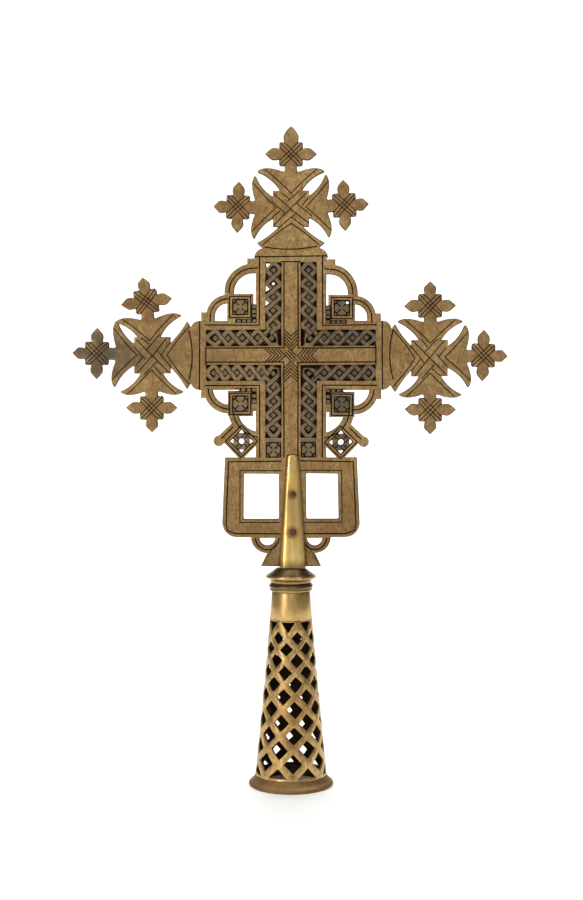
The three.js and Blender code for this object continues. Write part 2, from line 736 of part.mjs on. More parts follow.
function latticeGeometry() {
  const positions = [];
  // An outer face, anticlockwise as seen from outside, and the inner face behind it.
  const face = (...corners) => {
    const outer = corners.map((corner) => latticePoint(corner, 0));
    const inner = corners.map((corner) => latticePoint(corner, socketWall)).reverse();
    [outer, inner].forEach((points) => {
      for (let i = 1; i + 1 < points.length; i += 1) {
        positions.push(...points[0], ...points[i], ...points[i + 1]);
      }
    });
  };
  // The wall through the thickness, along an edge that an outer face runs in the same direction.
  const wall = (from, to) => {
    const [a, b] = [latticePoint(from, 0), latticePoint(from, socketWall)];
    const [c, d] = [latticePoint(to, socketWall), latticePoint(to, 0)];
    positions.push(...a, ...b, ...c, ...a, ...c, ...d);
  };
  const ringPanel = (left, right, edge) => {
    const [upper, lower] = edge > latticeTopRing ? [edge, latticeTopRing] : [latticeBottomRing, edge];
    face([left, upper], [left, lower], [right, lower], [right, upper]);
    if (edge === upper) wall([right, upper], [left, upper]);
    else wall([left, lower], [right, lower]);
  };
  for (let index = 0; index < holesAround; index += 1) {
    for (let row = -1; row <= latticeRows; row += 1) {
      const shift = row % 2 === 0 ? 1 : 0;
      const hole = holeCorners(row, index);
      const beside = holeCorners(row, index + 1);
      const above = holeCorners(row - 1, index + shift);
      const below = holeCorners(row + 1, index + shift);
      const belowLeft = holeCorners(row + 1, index + shift - 1);
      if (row === -1) {
        face(hole.right, below.top, beside.left);
        ringPanel(hole.left[0], hole.right[0], latticeTop);
        ringPanel(hole.right[0], beside.left[0], latticeTop);
        wall(hole.left, hole.right);
      } else if (row === latticeRows) {
        face(hole.right, beside.left, above.bottom);
        ringPanel(hole.left[0], hole.right[0], latticeBottom);
        ringPanel(hole.right[0], beside.left[0], latticeBottom);
        wall(hole.right, hole.left);
      } else {
        face(hole.right, below.top, beside.left, above.bottom);
      }
      if (row < latticeRows) {
        face(hole.bottom, below.left, below.top, hole.right);
        face(hole.left, belowLeft.top, belowLeft.right, hole.bottom);
        wall(hole.right, hole.bottom);
        wall(hole.bottom, hole.left);
      }
      if (row >= 0) {
        wall(hole.left, hole.top);
        wall(hole.top, hole.right);
      }
    }
  }
  const geometry = new THREE.BufferGeometry();
  geometry.setAttribute('position', new THREE.Float32BufferAttribute(positions, 3));
  return mergeVertices(geometry, 1e-4);
}

// ---- Materials -------------------------------------------------------------------------------

function agedBrass() {
  return new THREE.MeshStandardMaterial({ color: 0x8d744a, roughness: 0.42, metalness: 0.9 });
}

function polishedBrass() {
  return new THREE.MeshStandardMaterial({ color: 0xb1924f, roughness: 0.3, metalness: 0.95 });
}

function darkIron() {
  return new THREE.MeshStandardMaterial({ color: 0x4d3a30, roughness: 0.7, metalness: 0.6 });
}

// ---- Assembly --------------------------------------------------------------------------------

function piece(name, geometry, material, x = 0, z = 0) {
  const mesh = new THREE.Mesh(geometry, material);
  mesh.name = name;
  mesh.position.set(x, 0, z);
  return mesh;
}

const processionalCross = new THREE.Group();
processionalCross.add(
  piece('cross_plate', crossPlate(), agedBrass()),
  piece('forked_stem', forkedStem(), polishedBrass()),
  piece('upper_rivet', rivetGeometry(upperRivet), darkIron(), stemShift, upperRivet.z),
  piece('lower_rivet', rivetGeometry(lowerRivet), darkIron(), stemShift, lowerRivet.z),
  piece('knop', knopGeometry(), agedBrass()),
  piece('neck_ring', neckRingGeometry(), agedBrass()),
  piece('sleeve', sleeveGeometry(), agedBrass()),
  piece('lattice_socket', latticeGeometry(), agedBrass()),
  piece('base_flange', flangeGeometry(), agedBrass()),
);

export default processionalCross;
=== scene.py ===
"""The looks of a brass processional cross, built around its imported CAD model.

Pieces are drawn in millimetres and stored in metres. The head is drawn on its own plane: x runs to
the right and v runs up, both from the crossing of its arms.
"""

import math
import random

import bpy
import numpy as np
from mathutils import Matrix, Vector, geometry, noise
from mathutils.bvhtree import BVHTree


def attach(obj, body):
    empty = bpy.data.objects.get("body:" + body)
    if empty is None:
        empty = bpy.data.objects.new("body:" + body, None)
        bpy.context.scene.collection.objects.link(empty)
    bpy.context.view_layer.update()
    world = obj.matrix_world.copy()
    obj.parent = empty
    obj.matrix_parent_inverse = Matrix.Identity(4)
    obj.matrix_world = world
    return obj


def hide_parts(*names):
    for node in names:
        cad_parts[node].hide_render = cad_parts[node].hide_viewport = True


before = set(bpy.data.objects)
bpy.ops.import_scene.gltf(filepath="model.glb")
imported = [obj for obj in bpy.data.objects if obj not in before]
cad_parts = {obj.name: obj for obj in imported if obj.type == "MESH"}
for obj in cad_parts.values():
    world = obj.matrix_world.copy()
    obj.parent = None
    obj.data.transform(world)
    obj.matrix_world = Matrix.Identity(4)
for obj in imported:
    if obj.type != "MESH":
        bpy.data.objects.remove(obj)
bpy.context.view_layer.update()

MM = 0.001
CROSSING = 269.6            # height of the crossing above the base
PLATE_HALF = 2.5            # half the plate's thickness

# Engraving and relief
LINE_HALF = 0.42
LINE_DEPTH = 0.6
WALL = 0.17                 # plan width of a cut wall
PANEL_DEPTH = 1.0
STRAND_HALF = 1.14
GAP = 0.52                  # dark gap beside a strand that passes over
STRAND_TOP = -0.12
STRAND_RISE = STRAND_TOP + PANEL_DEPTH
PAD_TOP = -0.2
EDGE_ROUND = 0.6            # worn edges of the plate
EDGE_DROP = 0.5


# ---- Lines and outlines -------------------------------------------------------------------------

def curve(start, control, end):
    """Points along a quadratic curve."""
    shares = [i / 8 for i in range(9)]
    return [tuple((1 - t) ** 2 * a + 2 * t * (1 - t) * b + t * t * c
                  for a, b, c in zip(start, control, end)) for t in shares]


def arc(x, v, radius, start, end):
    """Points along part of a circle, between two angles in degrees."""
    angles = [math.radians(start + (end - start) * i / 14) for i in range(15)]
    return [(x + radius * math.cos(a), v + radius * math.sin(a)) for a in angles]


def box_corners(left, low, right, high):
    return [(left, low), (right, low), (right, high), (left, high)]


def square(x, v, half):
    return box_corners(x - half, v - half, x + half, v + half)


def diamond_corners(x, v, half):
    return [(x - half, v), (x, v - half), (x + half, v), (x, v + half)]


def closed(points):
    return list(points) + [points[0]]


def turned(points, degrees, x=0.0, v=0.0):
    """Points turned about the origin, then moved."""
    c, s = math.cos(math.radians(degrees)), math.sin(math.radians(degrees))
    return [(c * px - s * pv + x, s * px + c * pv + v) for px, pv in points]


def mirrored(points, shift=(0.0, 0.0)):
    return [(-x + shift[0], v + shift[1]) for x, v in points]


def signed_area(points):
    spots = np.array(points)
    after = np.roll(spots, -1, axis=0)
    return 0.5 * float(np.sum(spots[:, 0] * after[:, 1] - after[:, 0] * spots[:, 1]))


def offset(points, distance):
    """A line beside an open or closed line, to its left when the distance is positive."""
    spots = np.array(points, float)
    ring = np.allclose(spots[0], spots[-1])
    along = np.diff(spots, axis=0)
    along /= np.maximum(np.linalg.norm(along, axis=1), 1e-9)[:, None]
    left = np.stack([-along[:, 1], along[:, 0]], axis=1)
    before = np.vstack([left[-1:] if ring else left[:1], left])
    after = np.vstack([left, left[:1] if ring else left[-1:]])
    mitre = before + after
    mitre /= np.maximum(np.sum(mitre * before, axis=1), 0.5)[:, None]
    return [tuple(spot) for spot in spots + distance * mitre]


def outlined(points, distance):
    """A closed line at a distance all round an open or closed line."""
    if np.allclose(points[0], points[-1]):
        return [offset(points, distance), offset(points, -distance)]
    spots = np.array(points, float)
    ends = []
    for tip, inner in ((spots[0], spots[1]), (spots[-1], spots[-2])):
        out = (tip - inner) / np.linalg.norm(tip - inner)
        side = np.array([-out[1], out[0]])
        ends.append([tuple(tip + distance * (math.cos(a) * out - math.sin(a) * side))
                     for a in (math.pi / 4, 0.0, -math.pi / 4)])
    left, right = offset(points, distance), offset(points, -distance)
    return [closed(left + ends[1][::-1] + right[::-1] + ends[0][::-1])]


def path_distance(spots, points):
    """Distance from each spot to a line."""
    nearest = np.full(len(spots), 1e9)
    for a, b in zip(np.array(points[:-1], float), np.array(points[1:], float)):
        along = b - a
        share = np.clip((spots - a) @ along / max(along @ along, 1e-12), 0, 1)
        gap = spots - a - share[:, None] * along
        nearest = np.minimum(nearest, np.einsum("ij,ij->i", gap, gap))
    return np.sqrt(nearest)


def inside_distance(spots, corners):
    """Distance from each spot to a closed outline, negative outside it."""
    inside = np.zeros(len(spots), bool)
    for (ax, av), (bx, bv) in zip(corners, corners[1:] + corners[:1]):
        if av == bv:
            continue
        spans = (spots[:, 1] > av) != (spots[:, 1] > bv)
        crossing = ax + (spots[:, 1] - av) * (bx - ax) / (bv - av)
        inside ^= spans & (spots[:, 0] < crossing)
    distance = path_distance(spots, closed(corners))
    return np.where(inside, distance, -distance)


# ---- Relief -------------------------------------------------------------------------------------

class Relief:
    """A carved face: lines that its mesh must follow, and cuts that set its height, in order.

    Every cut takes a `put` function, which places its points on the face.
    """

    def __init__(self):
        self.breaklines = []
        self.cuts = []

    def _add(self, lines, cut, margin):
        self.breaklines += lines
        spots = np.array([point for line in lines for point in line])
        self.cuts.append((cut, spots.min(axis=0) - margin, spots.max(axis=0) + margin))

    def groove(self, points, put=list, half=LINE_HALF, depth=LINE_DEPTH):
        """An engraved line with sloping sides and a flat bottom."""
        path = put(points)
        floor = 0.6 * half

        def cut(spots, heights):
            share = (half - path_distance(spots, path)) / (half - floor)
            return np.minimum(heights, heights.clip(-0.3) - depth * np.clip(share, 0, 1))

        self._add(outlined(path, half) + outlined(path, floor), cut, half + 0.1)

    def _outline_lines(self, corners):
        ring = closed(corners)
        return [ring, offset(ring, WALL if signed_area(corners) > 0 else -WALL)]

    def panel(self, corners, put=list, depth=PANEL_DEPTH):
        """A sunk flat area."""
        corners = put(corners)

        def cut(spots, heights):
            share = np.clip(inside_distance(spots, corners) / WALL, 0, 1)
            return np.minimum(heights, -depth * share)

        self._add(self._outline_lines(corners), cut, 0.01)

    def pad(self, corners, put=list, top=PAD_TOP, floor=-PANEL_DEPTH):
        """A flat area left standing in a sunk panel."""
        corners = put(corners)

        def cut(spots, heights):
            inward = inside_distance(spots, corners)
            raised = floor + (top - floor) * np.clip(inward / WALL, 0, 1)
            return np.where(inward > 0, np.maximum(heights, raised), heights)

        self._add(self._outline_lines(corners), cut, 0.01)

    def strand(self, points, put):
        """A flat band standing in a sunk panel."""
        path = put(points)

        def cut(spots, heights):
            outward = path_distance(spots, path) - STRAND_HALF
            raised = STRAND_TOP - STRAND_RISE * np.clip(outward / WALL, 0, 1)
            return np.where(outward < WALL, np.maximum(heights, raised), heights)

        lines = outlined(path, STRAND_HALF) + outlined(path, STRAND_HALF + WALL)
        self._add(lines, cut, 0.5 + STRAND_HALF)

    def crossing(self, ends, put):
        """A short stretch of a strand that passes over another, cut free along both sides."""
        start, end = np.array(put(ends), float)
        along = end - start
        length = float(np.linalg.norm(along))
        along = along / length
        across = np.array([-along[1], along[0]])

        def cut(spots, heights):
            run = (spots - start) @ along
            out = np.abs((spots - start) @ across) - STRAND_HALF
            fall = STRAND_TOP - STRAND_RISE * np.clip(out / WALL, 0, 1)
            climb = STRAND_RISE * np.clip((out - GAP + WALL) / WALL, 0, 1) - PANEL_DEPTH
            cleared = np.where(out < WALL, fall, np.minimum(heights, climb))
            within = (run > -0.01) & (run < length + 0.01) & (out < GAP)
            return np.where(within, cleared, heights)

        lines = [offset([tuple(start), tuple(end)], sign * (STRAND_HALF + out))
                 for out in (0, WALL, GAP - WALL, GAP) for sign in (-1, 1)]
        self._add(lines, cut, 0.01)

    def heights(self, spots):
        heights = np.zeros(len(spots))
        for cut, low, high in self.cuts:
            near = np.all((spots > low) & (spots < high), axis=1)
            if near.any():
                heights[near] = cut(spots[near], heights[near])
        return heights


# ---- Meshes -------------------------------------------------------------------------------------

def piece_from(name, vertices, faces, sharp_degrees=32.0):
    """A mesh object from millimetre vertices."""
    mesh = bpy.data.meshes.new(name)
    mesh.from_pydata((np.asarray(vertices, float) * MM).tolist(), [], faces)
    mesh.validate()
    mesh.shade_smooth()
    mesh.set_sharp_from_angle(angle=math.radians(sharp_degrees))
    piece = bpy.data.objects.new(name, mesh)
    bpy.context.scene.collection.objects.link(piece)
    return piece


def triangulated(loops, breaklines):
    """Points and triangles inside the first loop and outside the others, along every breakline."""
    coords, edges, faces = [], [], []
    for loop in loops:
        indices = list(range(len(coords), len(coords) + len(loop)))
        faces.append(indices if signed_area(loop) > 0 else indices[::-1])
        coords += [Vector(point) for point in loop]
    for line in breaklines:
        first = len(coords)
        coords += [Vector(point) for point in line]
        edges += [(i, i + 1) for i in range(first, len(coords) - 1)]
    found = geometry.delaunay_2d_cdt(coords, edges, faces, 1, 1e-4, True)
    points, triangles, sources = found[0], found[2], found[5]
    kept = np.array([t for t, source in zip(triangles, sources) if set(source) == {0}])
    used, kept = np.unique(kept, return_inverse=True)
    return np.array([tuple(points[i]) for i in used]), kept.reshape(-1, 3)


def border_edges(triangles):
    """Edges with a triangle on one side only, in that triangle's direction."""
    directed = {(int(a), int(b)) for t in triangles for a, b in ((t[0], t[1]), (t[1], t[2]), (t[2], t[0]))}
    return [(a, b) for a, b in sorted(directed) if (b, a) not in directed]


def loop_distance(spots, loops):
    """Distance from each spot to the nearest loop."""
    corners, walls = [], []
    for loop in loops:
        for (ax, av), (bx, bv) in zip(loop, loop[1:] + loop[:1]):
            first = len(corners)
            corners += [(ax, av, -1), (bx, bv, -1), (bx, bv, 1), (ax, av, 1)]
            walls.append((first, first + 1, first + 2, first + 3))
    tree = BVHTree.FromPolygons(corners, walls)
    return np.array([tree.find_nearest((x, v, 0.0))[3] for x, v in spots])


def worn_edges(spots, loops, heights, width=EDGE_ROUND, drop=EDGE_DROP):
    """Heights lowered towards the loops, as wear rounds an edge."""
    share = np.clip(loop_distance(spots, loops) / width, 0, 1)
    return np.minimum(heights, -drop * (1 - share) ** 2)


def edge_lines(loops, width=EDGE_ROUND):
    """Lines just inside the material's edges, for their rounding."""
    lines = []
    for i, loop in enumerate(loops):
        inward = 1 if (signed_area(loop) > 0) == (i == 0) else -1
        lines += [offset(closed(loop), inward * width * share) for share in (0.35, 1.0)]
    return lines


# ---- Outline of the head ------------------------------------------------------------------------

def sliced_loops(node, y):
    """The closed outlines where a plane of constant Y cuts a CAD node, on the head's own plane."""
    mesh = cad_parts[node].data
    mesh.calc_loop_triangles()
    spots = [tuple(vertex.co / MM) for vertex in mesh.vertices]
    following = {}
    for triangle in mesh.loop_triangles:
        corners = [spots[i] for i in triangle.vertices]
        ends = {}
        for a, b in zip(corners, corners[1:] + corners[:1]):
            if (a[1] > y) != (b[1] > y):
                low, high = sorted((a, b))
                share = (y - low[1]) / (high[1] - low[1])
                x, v = (low[k] + (high[k] - low[k]) * share for k in (0, 2))
                ends[a[1] > y] = (x, v - CROSSING)
        if ends:
            following[ends[True]] = ends[False]
    loops = []
    while following:
        start, point = following.popitem()
        loop = [start]
        while point != start:
            loop.append(point)
            point = following.pop(point)
        loops.append(tidied(loop))
    loops.sort(key=lambda loop: -abs(signed_area(loop)))
    return loops


def tidied(loop):
    """A loop without doubled points and points on straight lines."""
    apart = [p for p, q in zip(loop, loop[1:] + loop[:1]) if math.dist(p, q) > 0.02]
    kept = []
    for before, point, after in zip(apart[-1:] + apart[:-1], apart, apart[1:] + apart[:1]):
        a = np.subtract(point, before)
        b = np.subtract(after, point)
        turn = abs(a[0] * b[1] - a[1] * b[0]) / (np.linalg.norm(a) * np.linalg.norm(b))
        if turn > 0.004:
            kept.append(point)
    return kept


def rounded(loop):
    """A loop whose curved stretches are drawn with more points; its corners and straights stay."""
    steps, sharp_degrees = 3, 38.0
    spots = np.array(loop)
    chords = np.roll(spots, -1, axis=0) - spots
    lengths = np.linalg.norm(chords, axis=1)
    units = chords / lengths[:, None]
    count = len(loop)
    tangents = []
    for i in range(count):
        before, after = units[i - 1], units[i]
        turn = math.degrees(math.acos(float(np.clip(before @ after, -1, 1))))
        if turn > sharp_degrees:
            tangents.append((before, after))
        elif lengths[i - 1] > 2.5 * lengths[i]:
            tangents.append((before, before))
        elif lengths[i] > 2.5 * lengths[i - 1]:
            tangents.append((after, after))
        else:
            mean = (before + after) / np.linalg.norm(before + after)
            tangents.append((mean, mean))
    drawn = []
    for i in range(count):
        a, b = spots[i], spots[(i + 1) % count]
        leave = tangents[i][1] * lengths[i]
        reach = tangents[(i + 1) % count][0] * lengths[i]
        straight = max(np.linalg.norm(leave - chords[i]), np.linalg.norm(reach - chords[i])) < 0.03
        drawn.append(tuple(a))
        if straight or lengths[i] < 0.5:
            continue
        for step in range(1, steps):
            t = step / steps
            h = (2 * t**3 - 3 * t**2 + 1, t**3 - 2 * t**2 + t, 3 * t**2 - 2 * t**3, t**3 - t**2)
            drawn.append(tuple(h[0] * a + h[1] * leave + h[2] * b + h[3] * reach))
    return drawn


# ---- Carving of the head ------------------------------------------------------------------------

PANEL_INNER = 5.9
PANEL_OUTER = 16.2
SIDE_PANEL_REACH = 53.3
TOP_PANEL_REACH = 58.6
LOW_PANEL_REACH = 52.0
RIGHT_SHIFT = (0.1, -0.6)


def keep(points):
    return list(points)


def to_right(points):
    return mirrored(points)


def to_right_shifted(points):
    return mirrored(points, RIGHT_SHIFT)


def interlace(relief, put, first_end, eyes, last_end, corner):
    """Two strands woven along a strip that turns one corner, at the eye of that index.

    The strands swing apart round each eye and cross midway between eyes. Along the upright stretch
    the rising strand passes over, and along the level stretch the falling one does.
    """
    swing, blunt, end_half = 4.05, 0.8, 1.3
    fall = math.copysign(1.0, -eyes[corner][1])
    for x, v in eyes:
        relief.pad(diamond_corners(x, v, 2.1), put)
    for start in (1, -1):
        ex, ev = first_end
        strand = [(ex - start * end_half, ev), (ex + start * end_half, ev)]
        for i, (x, v) in enumerate(eyes):
            side = start * (-1) ** i
            if i == corner and side > 0:
                strand += [(x + 4.1, v - 0.6 * fall), (x + 4.0, v + 3.2 * fall),
                           (x + 3.2, v + 4.0 * fall), (x - 0.6, v + 4.1 * fall)]
            elif i == corner:
                strand += [(x - 2.7, v - 3.9 * fall), (x - 3.9, v - 2.7 * fall)]
            elif i < corner:
                bow = x + side * swing
                strand += [(bow, v - blunt * fall), (bow, v + blunt * fall)]
            else:
                bow = v + side * swing * fall
                strand += [(x + blunt, bow), (x - blunt, bow)]
        ex, ev = last_end
        rise = side * end_half * fall
        relief.strand(strand + [(ex, ev + rise), (ex, ev - rise)], put)
    run, apex, base, spread = 1.2425, 2.25, 4.85, 2.6
    for i, ((ax, av), (bx, bv)) in enumerate(zip(eyes, eyes[1:])):
        cx, cv = (ax + bx) / 2, (av + bv) / 2
        climb = run if i < corner else -run
        relief.crossing([(cx - run, cv - climb), (cx + run, cv + climb)], put)
        for way in (-1, 1):
            corners = [(way * apex, 0.0), (way * base, -spread), (way * base, spread)]
            if i >= corner:
                corners = [(v, x) for x, v in corners]
            relief.pad([(cx + x, cv + v) for x, v in corners], put)


def strip_panels(relief):
    """The sunk strips beside the central bands, with their interlace."""
    middle = (PANEL_INNER + PANEL_OUTER) / 2
    upper_rows = [53.5, 44.7, 36.5, 28.3, 18.9]
    lower_rows = [-46.0, -37.8, -29.0, -20.2]
    upper_left = [(-x, middle) for x in (20.9, 30.6, 39.4, 47.4)]
    lower_left = [(-x, -middle) for x in (18.5, 25.9, 33.9, 41.4, 48.4)]
    upper_right = [(-x, middle) for x in (20.8, 29.4, 38.6, 47.3)]
    lower_right = [(-x, -middle) for x in (20.9, 30.4, 39.9, 48.6)]
    for put, upper, lower in ((keep, upper_left, lower_left), (to_right, upper_right, lower_right)):
        for way, reach in ((1, TOP_PANEL_REACH), (-1, LOW_PANEL_REACH)):
            relief.panel([
                (-PANEL_INNER, way * PANEL_INNER), (-SIDE_PANEL_REACH, way * PANEL_INNER),
                (-SIDE_PANEL_REACH, way * PANEL_OUTER), (-PANEL_OUTER, way * PANEL_OUTER),
                (-PANEL_OUTER, way * reach), (-PANEL_INNER, way * reach),
            ], put)
        side_end = (-SIDE_PANEL_REACH + STRAND_HALF, middle)
        interlace(relief, put, (-middle, TOP_PANEL_REACH - STRAND_HALF),
                  [(-middle, v) for v in upper_rows] + [(-12.0, 10.8)] + upper,
                  side_end, len(upper_rows))
        interlace(relief, put, (-middle, -51.7 + STRAND_HALF),
                  [(-middle, v) for v in lower_rows] + [(-11.2, -11.4)] + lower,
                  (side_end[0], -middle), len(lower_rows))
        relief.panel(box_corners(-PANEL_OUTER, -54.6, -PANEL_INNER, -52.2), put, depth=0.1)
        rosette(relief, put, -middle, -59.4, 4.6)


def rosette(relief, put, x, v, half):
    """Four rounded petals and four corner pieces, parted by dark cuts, in a square."""
    relief.panel(square(x, v, half + WALL), put, depth=0.12)
    relief.groove(closed(square(x, v, half - 0.1)), put, half=0.42)
    corner, petal, core = 0.42 * half, 0.6708 * half, 0.22 * half
    for turn in (0, 90, 180, 270):
        def place(points, turn=turn):
            return put([(px + x, pv + v) for px, pv in turned(points, turn)])

        relief.groove([(corner, half - 0.2), (petal, petal), (half - 0.2, corner)], place, half=0.48)
        relief.groove([(core, core), (petal, petal)], place, half=0.38)


def teeth(relief, put, places):
    """Small raised blocks in a sunk channel."""
    for x, v, half_x, half_v in places:
        relief.pad(box_corners(x - half_x, v - half_v, x + half_x, v + half_v), put, top=-0.1, floor=-0.7)


def arm_lines(relief):
    """Engraved lines along the arms, their caps and the central bands."""
    for put in (keep, to_right):
        relief.groove([(-53.6, 19.2), (-19.9, 18.9), (-19.8, 61.9)], put)
        relief.groove([(-53.6, -19.0), (-19.7, -18.9), (-19.6, -64.2)], put)
        relief.groove([(-4.4, 58.7), (-4.4, 4.7), (-53.4, 4.7)], put)
        relief.groove([(-4.4, -64.0), (-4.4, -4.2), (-53.4, -4.2)], put)
        relief.groove([(-57.5, -22.2), (-57.3, 22.2)], put)
        relief.groove([(-53.4, -5.9), (-53.4, 5.9)], put)
        relief.groove(curve((-64.2, -15.0), (-60.0, 0.0), (-64.2, 15.4)), put)
    relief.groove([(-23.0, 61.9), (23.0, 62.4)])
    relief.groove([(-5.9, 58.8), (5.9, 58.8)])
    relief.groove(curve((-16.6, 68.3), (0.0, 65.0), (16.6, 68.5)))


def crossing_chevrons(relief):
    """Nested chevrons that point at the crossing from all four arms."""
    half, thin, step = 4.0, 0.36, 2.15
    for k in range(5):
        for turn, start in ((0, 3.3), (180, 3.8), (90, 3.6), (-90, 3.9)):
            tip = start + step * k
            arms = [(-half, tip + half), (0.0, tip), (half, tip + half)]
            relief.groove(turned(arms, turn), half=thin)
    for shift in (-3.3, -1.1, 1.1, 3.3):
        reach, middle = 3.2 - 0.45 * abs(shift), shift / 2
        relief.groove([(middle - reach, middle + reach), (middle + reach, middle - reach)], half=thin)


# The woven knot's strokes, from the middle of a finial
KNOT_STROKES = [
    [(-11.1, 8.9), (-0.4, -0.2)], [(-0.1, -0.8), (12.3, -10.7)], [(-6.4, 9.8), (-1.0, 5.6)],
    [(3.2, 3.2), (13.0, -5.2)], [(-12.0, 4.3), (-3.7, -3.4)], [(0.6, -6.3), (9.0, -12.4)],
    [(-11.1, -11.2), (9.7, 9.4)], [(5.2, 10.7), (-2.3, 4.1)], [(11.0, 6.3), (7.0, 1.4)],
    [(-6.9, -1.7), (-12.0, -6.1)], [(2.8, -3.9), (-7.6, -12.4)],
]

# A finial's arms, to its left, outward and right: reach to the small cross, lean, the small cross's
# own lean, and half the fan's span
TOP_ARMS = [(33.4, -1, -1, 19.6), (34.0, 0, 0, 21.0), (33.6, 3, 0, 19.6)]
LEFT_ARMS = [(33.0, 0, 0, 19.6), (34.6, -2, 1, 20.6), (34.0, 6, 2, 20.6)]
RIGHT_ARMS = [(33.0, 0, 0, 20.2), (33.4, 3, -5, 19.6), (32.4, 0, 0, 19.6)]


def finial_lines(relief, put, arms):
    """One finial's engraving, pointing along +v from its knot: arms to its left, outward and right."""
    for stroke in KNOT_STROKES:
        relief.groove(stroke, put, half=0.33)
    for side in (-1, 1):
        relief.groove(curve((0.3, -9.8), (side * 8.6, -15.2), (side * 17.9, -23.4)), put, half=0.34)
    for index, (reach, lean, cross_lean, half_span) in enumerate(arms):
        turn = 90 - 90 * index + lean

        def on_arm(points, turn=turn):
            return put(turned(points, turn))

        for side in (-1, 1):
            relief.groove(curve((0.0, 9.2), (side * 6.9, 16.8), (side * half_span * 0.78, 24.2)),
                          on_arm, half=0.34)

        def on_cross(points, on_arm=on_arm, lean=cross_lean, reach=reach):
            return on_arm(turned(points, lean, 0.0, reach))

        half, step = 7.2, 2.9
        for family in (-1, 1):
            for shift in (-step, 0.0, step):
                ends = [(max(-half, -half - shift), max(-half, -half + shift)),
                        (min(half, half - shift), min(half, half + shift))]
                relief.groove([(family * x, v) for x, v in ends], on_cross, half=0.3)


def finials(relief):
    for arms, turn, x, v in ((TOP_ARMS, 0, 0.0, 92.7), (LEFT_ARMS, 90, -87.6, 0.0),
                             (RIGHT_ARMS, -90, 87.6, -1.8)):
        def put(points, turn=turn, x=x, v=v):
            return turned(points, turn, x, v)

        finial_lines(relief, put, arms)


def quadrant_lines(relief):
    """Blocks, arches, straps and pierced diamonds in the four quadrants."""
    for put in (keep, to_right_shifted):
        relief.groove(arc(-23.9, 39.7, 15.0, 90, 182), put)
        relief.groove([(-23.9, 54.7), (-21.0, 54.9)], put)
        relief.groove(arc(-39.7, 24.6, 10.9, 88, 180) + [(-50.6, 21.4)], put)
        relief.groove(arc(-39.1, -20.8, 12.9, 180, 272), put)
        relief.groove(arc(-18.6, -33.4, 18.0, 186, 262), put)
        for x, v, drop in ((-31.9, 30.4, 0.0), (-31.9, -30.3, 0.2)):
            relief.groove(closed(square(x - 0.1, v - drop, 6.7)), put)
            rosette(relief, put, x, v, 4.9)
        relief.panel([(-24.9, 32.0), (-24.9, 22.9), (-35.0, 22.9), (-35.0, 20.4), (-21.6, 20.4),
                      (-21.6, 32.0)], put, depth=0.7)
        teeth(relief, put, [(-23.2, 30.4, 1.3, 1.1), (-23.2, 27.5, 1.3, 1.2), (-23.2, 24.8, 1.3, 0.9),
                            (-23.2, 21.7, 1.3, 0.95), (-26.5, 21.6, 1.2, 0.95), (-29.6, 21.6, 1.2, 0.95),
                            (-32.8, 21.6, 1.3, 0.95)])
        relief.panel([(-24.9, -30.4), (-24.9, -23.0), (-35.0, -23.0), (-35.0, -20.4), (-21.6, -20.4),
                      (-21.6, -30.4)], put, depth=0.7)
        teeth(relief, put, [(-23.2, -28.8, 1.3, 1.2), (-23.2, -25.6, 1.3, 1.2), (-23.2, -21.7, 1.3, 1.0),
                            (-26.6, -21.7, 1.2, 1.0), (-30.0, -21.7, 1.3, 1.0), (-33.2, -21.7, 1.2, 1.0)])
        diamond_lines(relief, put)


def diamond_lines(relief, put):
    """The pierced diamond's rim, and the cuts between its woven blocks."""
    x, v = -31.2, -54.0
    relief.groove(closed(diamond_corners(x, v, 10.1)), put)
    relief.panel(diamond_corners(x, v, 8.1), put, depth=0.14)
    relief.groove(closed(diamond_corners(x, v, 7.5)), put, half=0.34)
    for turn in (45, 135, 225, 315):
        def place(points, turn=turn):
            return put([(px + x, pv + v) for px, pv in turned(points, turn)])

        relief.groove([(2.0, -5.0), (2.0, 1.2)], place, half=0.28)
        relief.groove([(3.9, -0.9), (3.9, 0.9)], place, half=0.26)
        relief.groove([(2.0, 0.0), (5.0, 0.0)], place, half=0.26)
    relief.groove([(-36.4, -45.0), (-43.6, -52.2)], put)


def frame_lines(relief):
    """Lines round the window frame, its windows and the lobes under it."""
    for put in (keep, to_right):
        relief.groove([(-6.0, -66.4), (-39.2, -66.8), (-40.8, -105.6), (-40.0, -110.0),
                       (-35.0, -112.0), (-7.0, -112.0)], put)
        relief.groove([(-6.0, -72.4), (-31.9, -72.2), (-32.1, -105.0), (-7.6, -105.0)], put, half=0.32)
        relief.groove(arc(-14.9, -114.6, 7.4, 182, 358), put)
        relief.groove([(-17.2, -130.4), (-9.2, -117.4)], put, half=0.3, depth=0.3)


def hand_drift(spots):
    """Small drifts of a hand-drawn line, fading out at the object's ends."""
    drift = np.array([[noise.noise(Vector((x * 0.05, v * 0.05, layer))) for layer in (3.1, 11.7)]
                      for x, v in spots])
    reach = np.maximum(np.abs(spots[:, 0]) / 137, np.abs(spots[:, 1]) / 143)
    room = np.clip((1 - reach) / 0.15, 0, 1)
    return spots + 0.34 * room[:, None] * drift


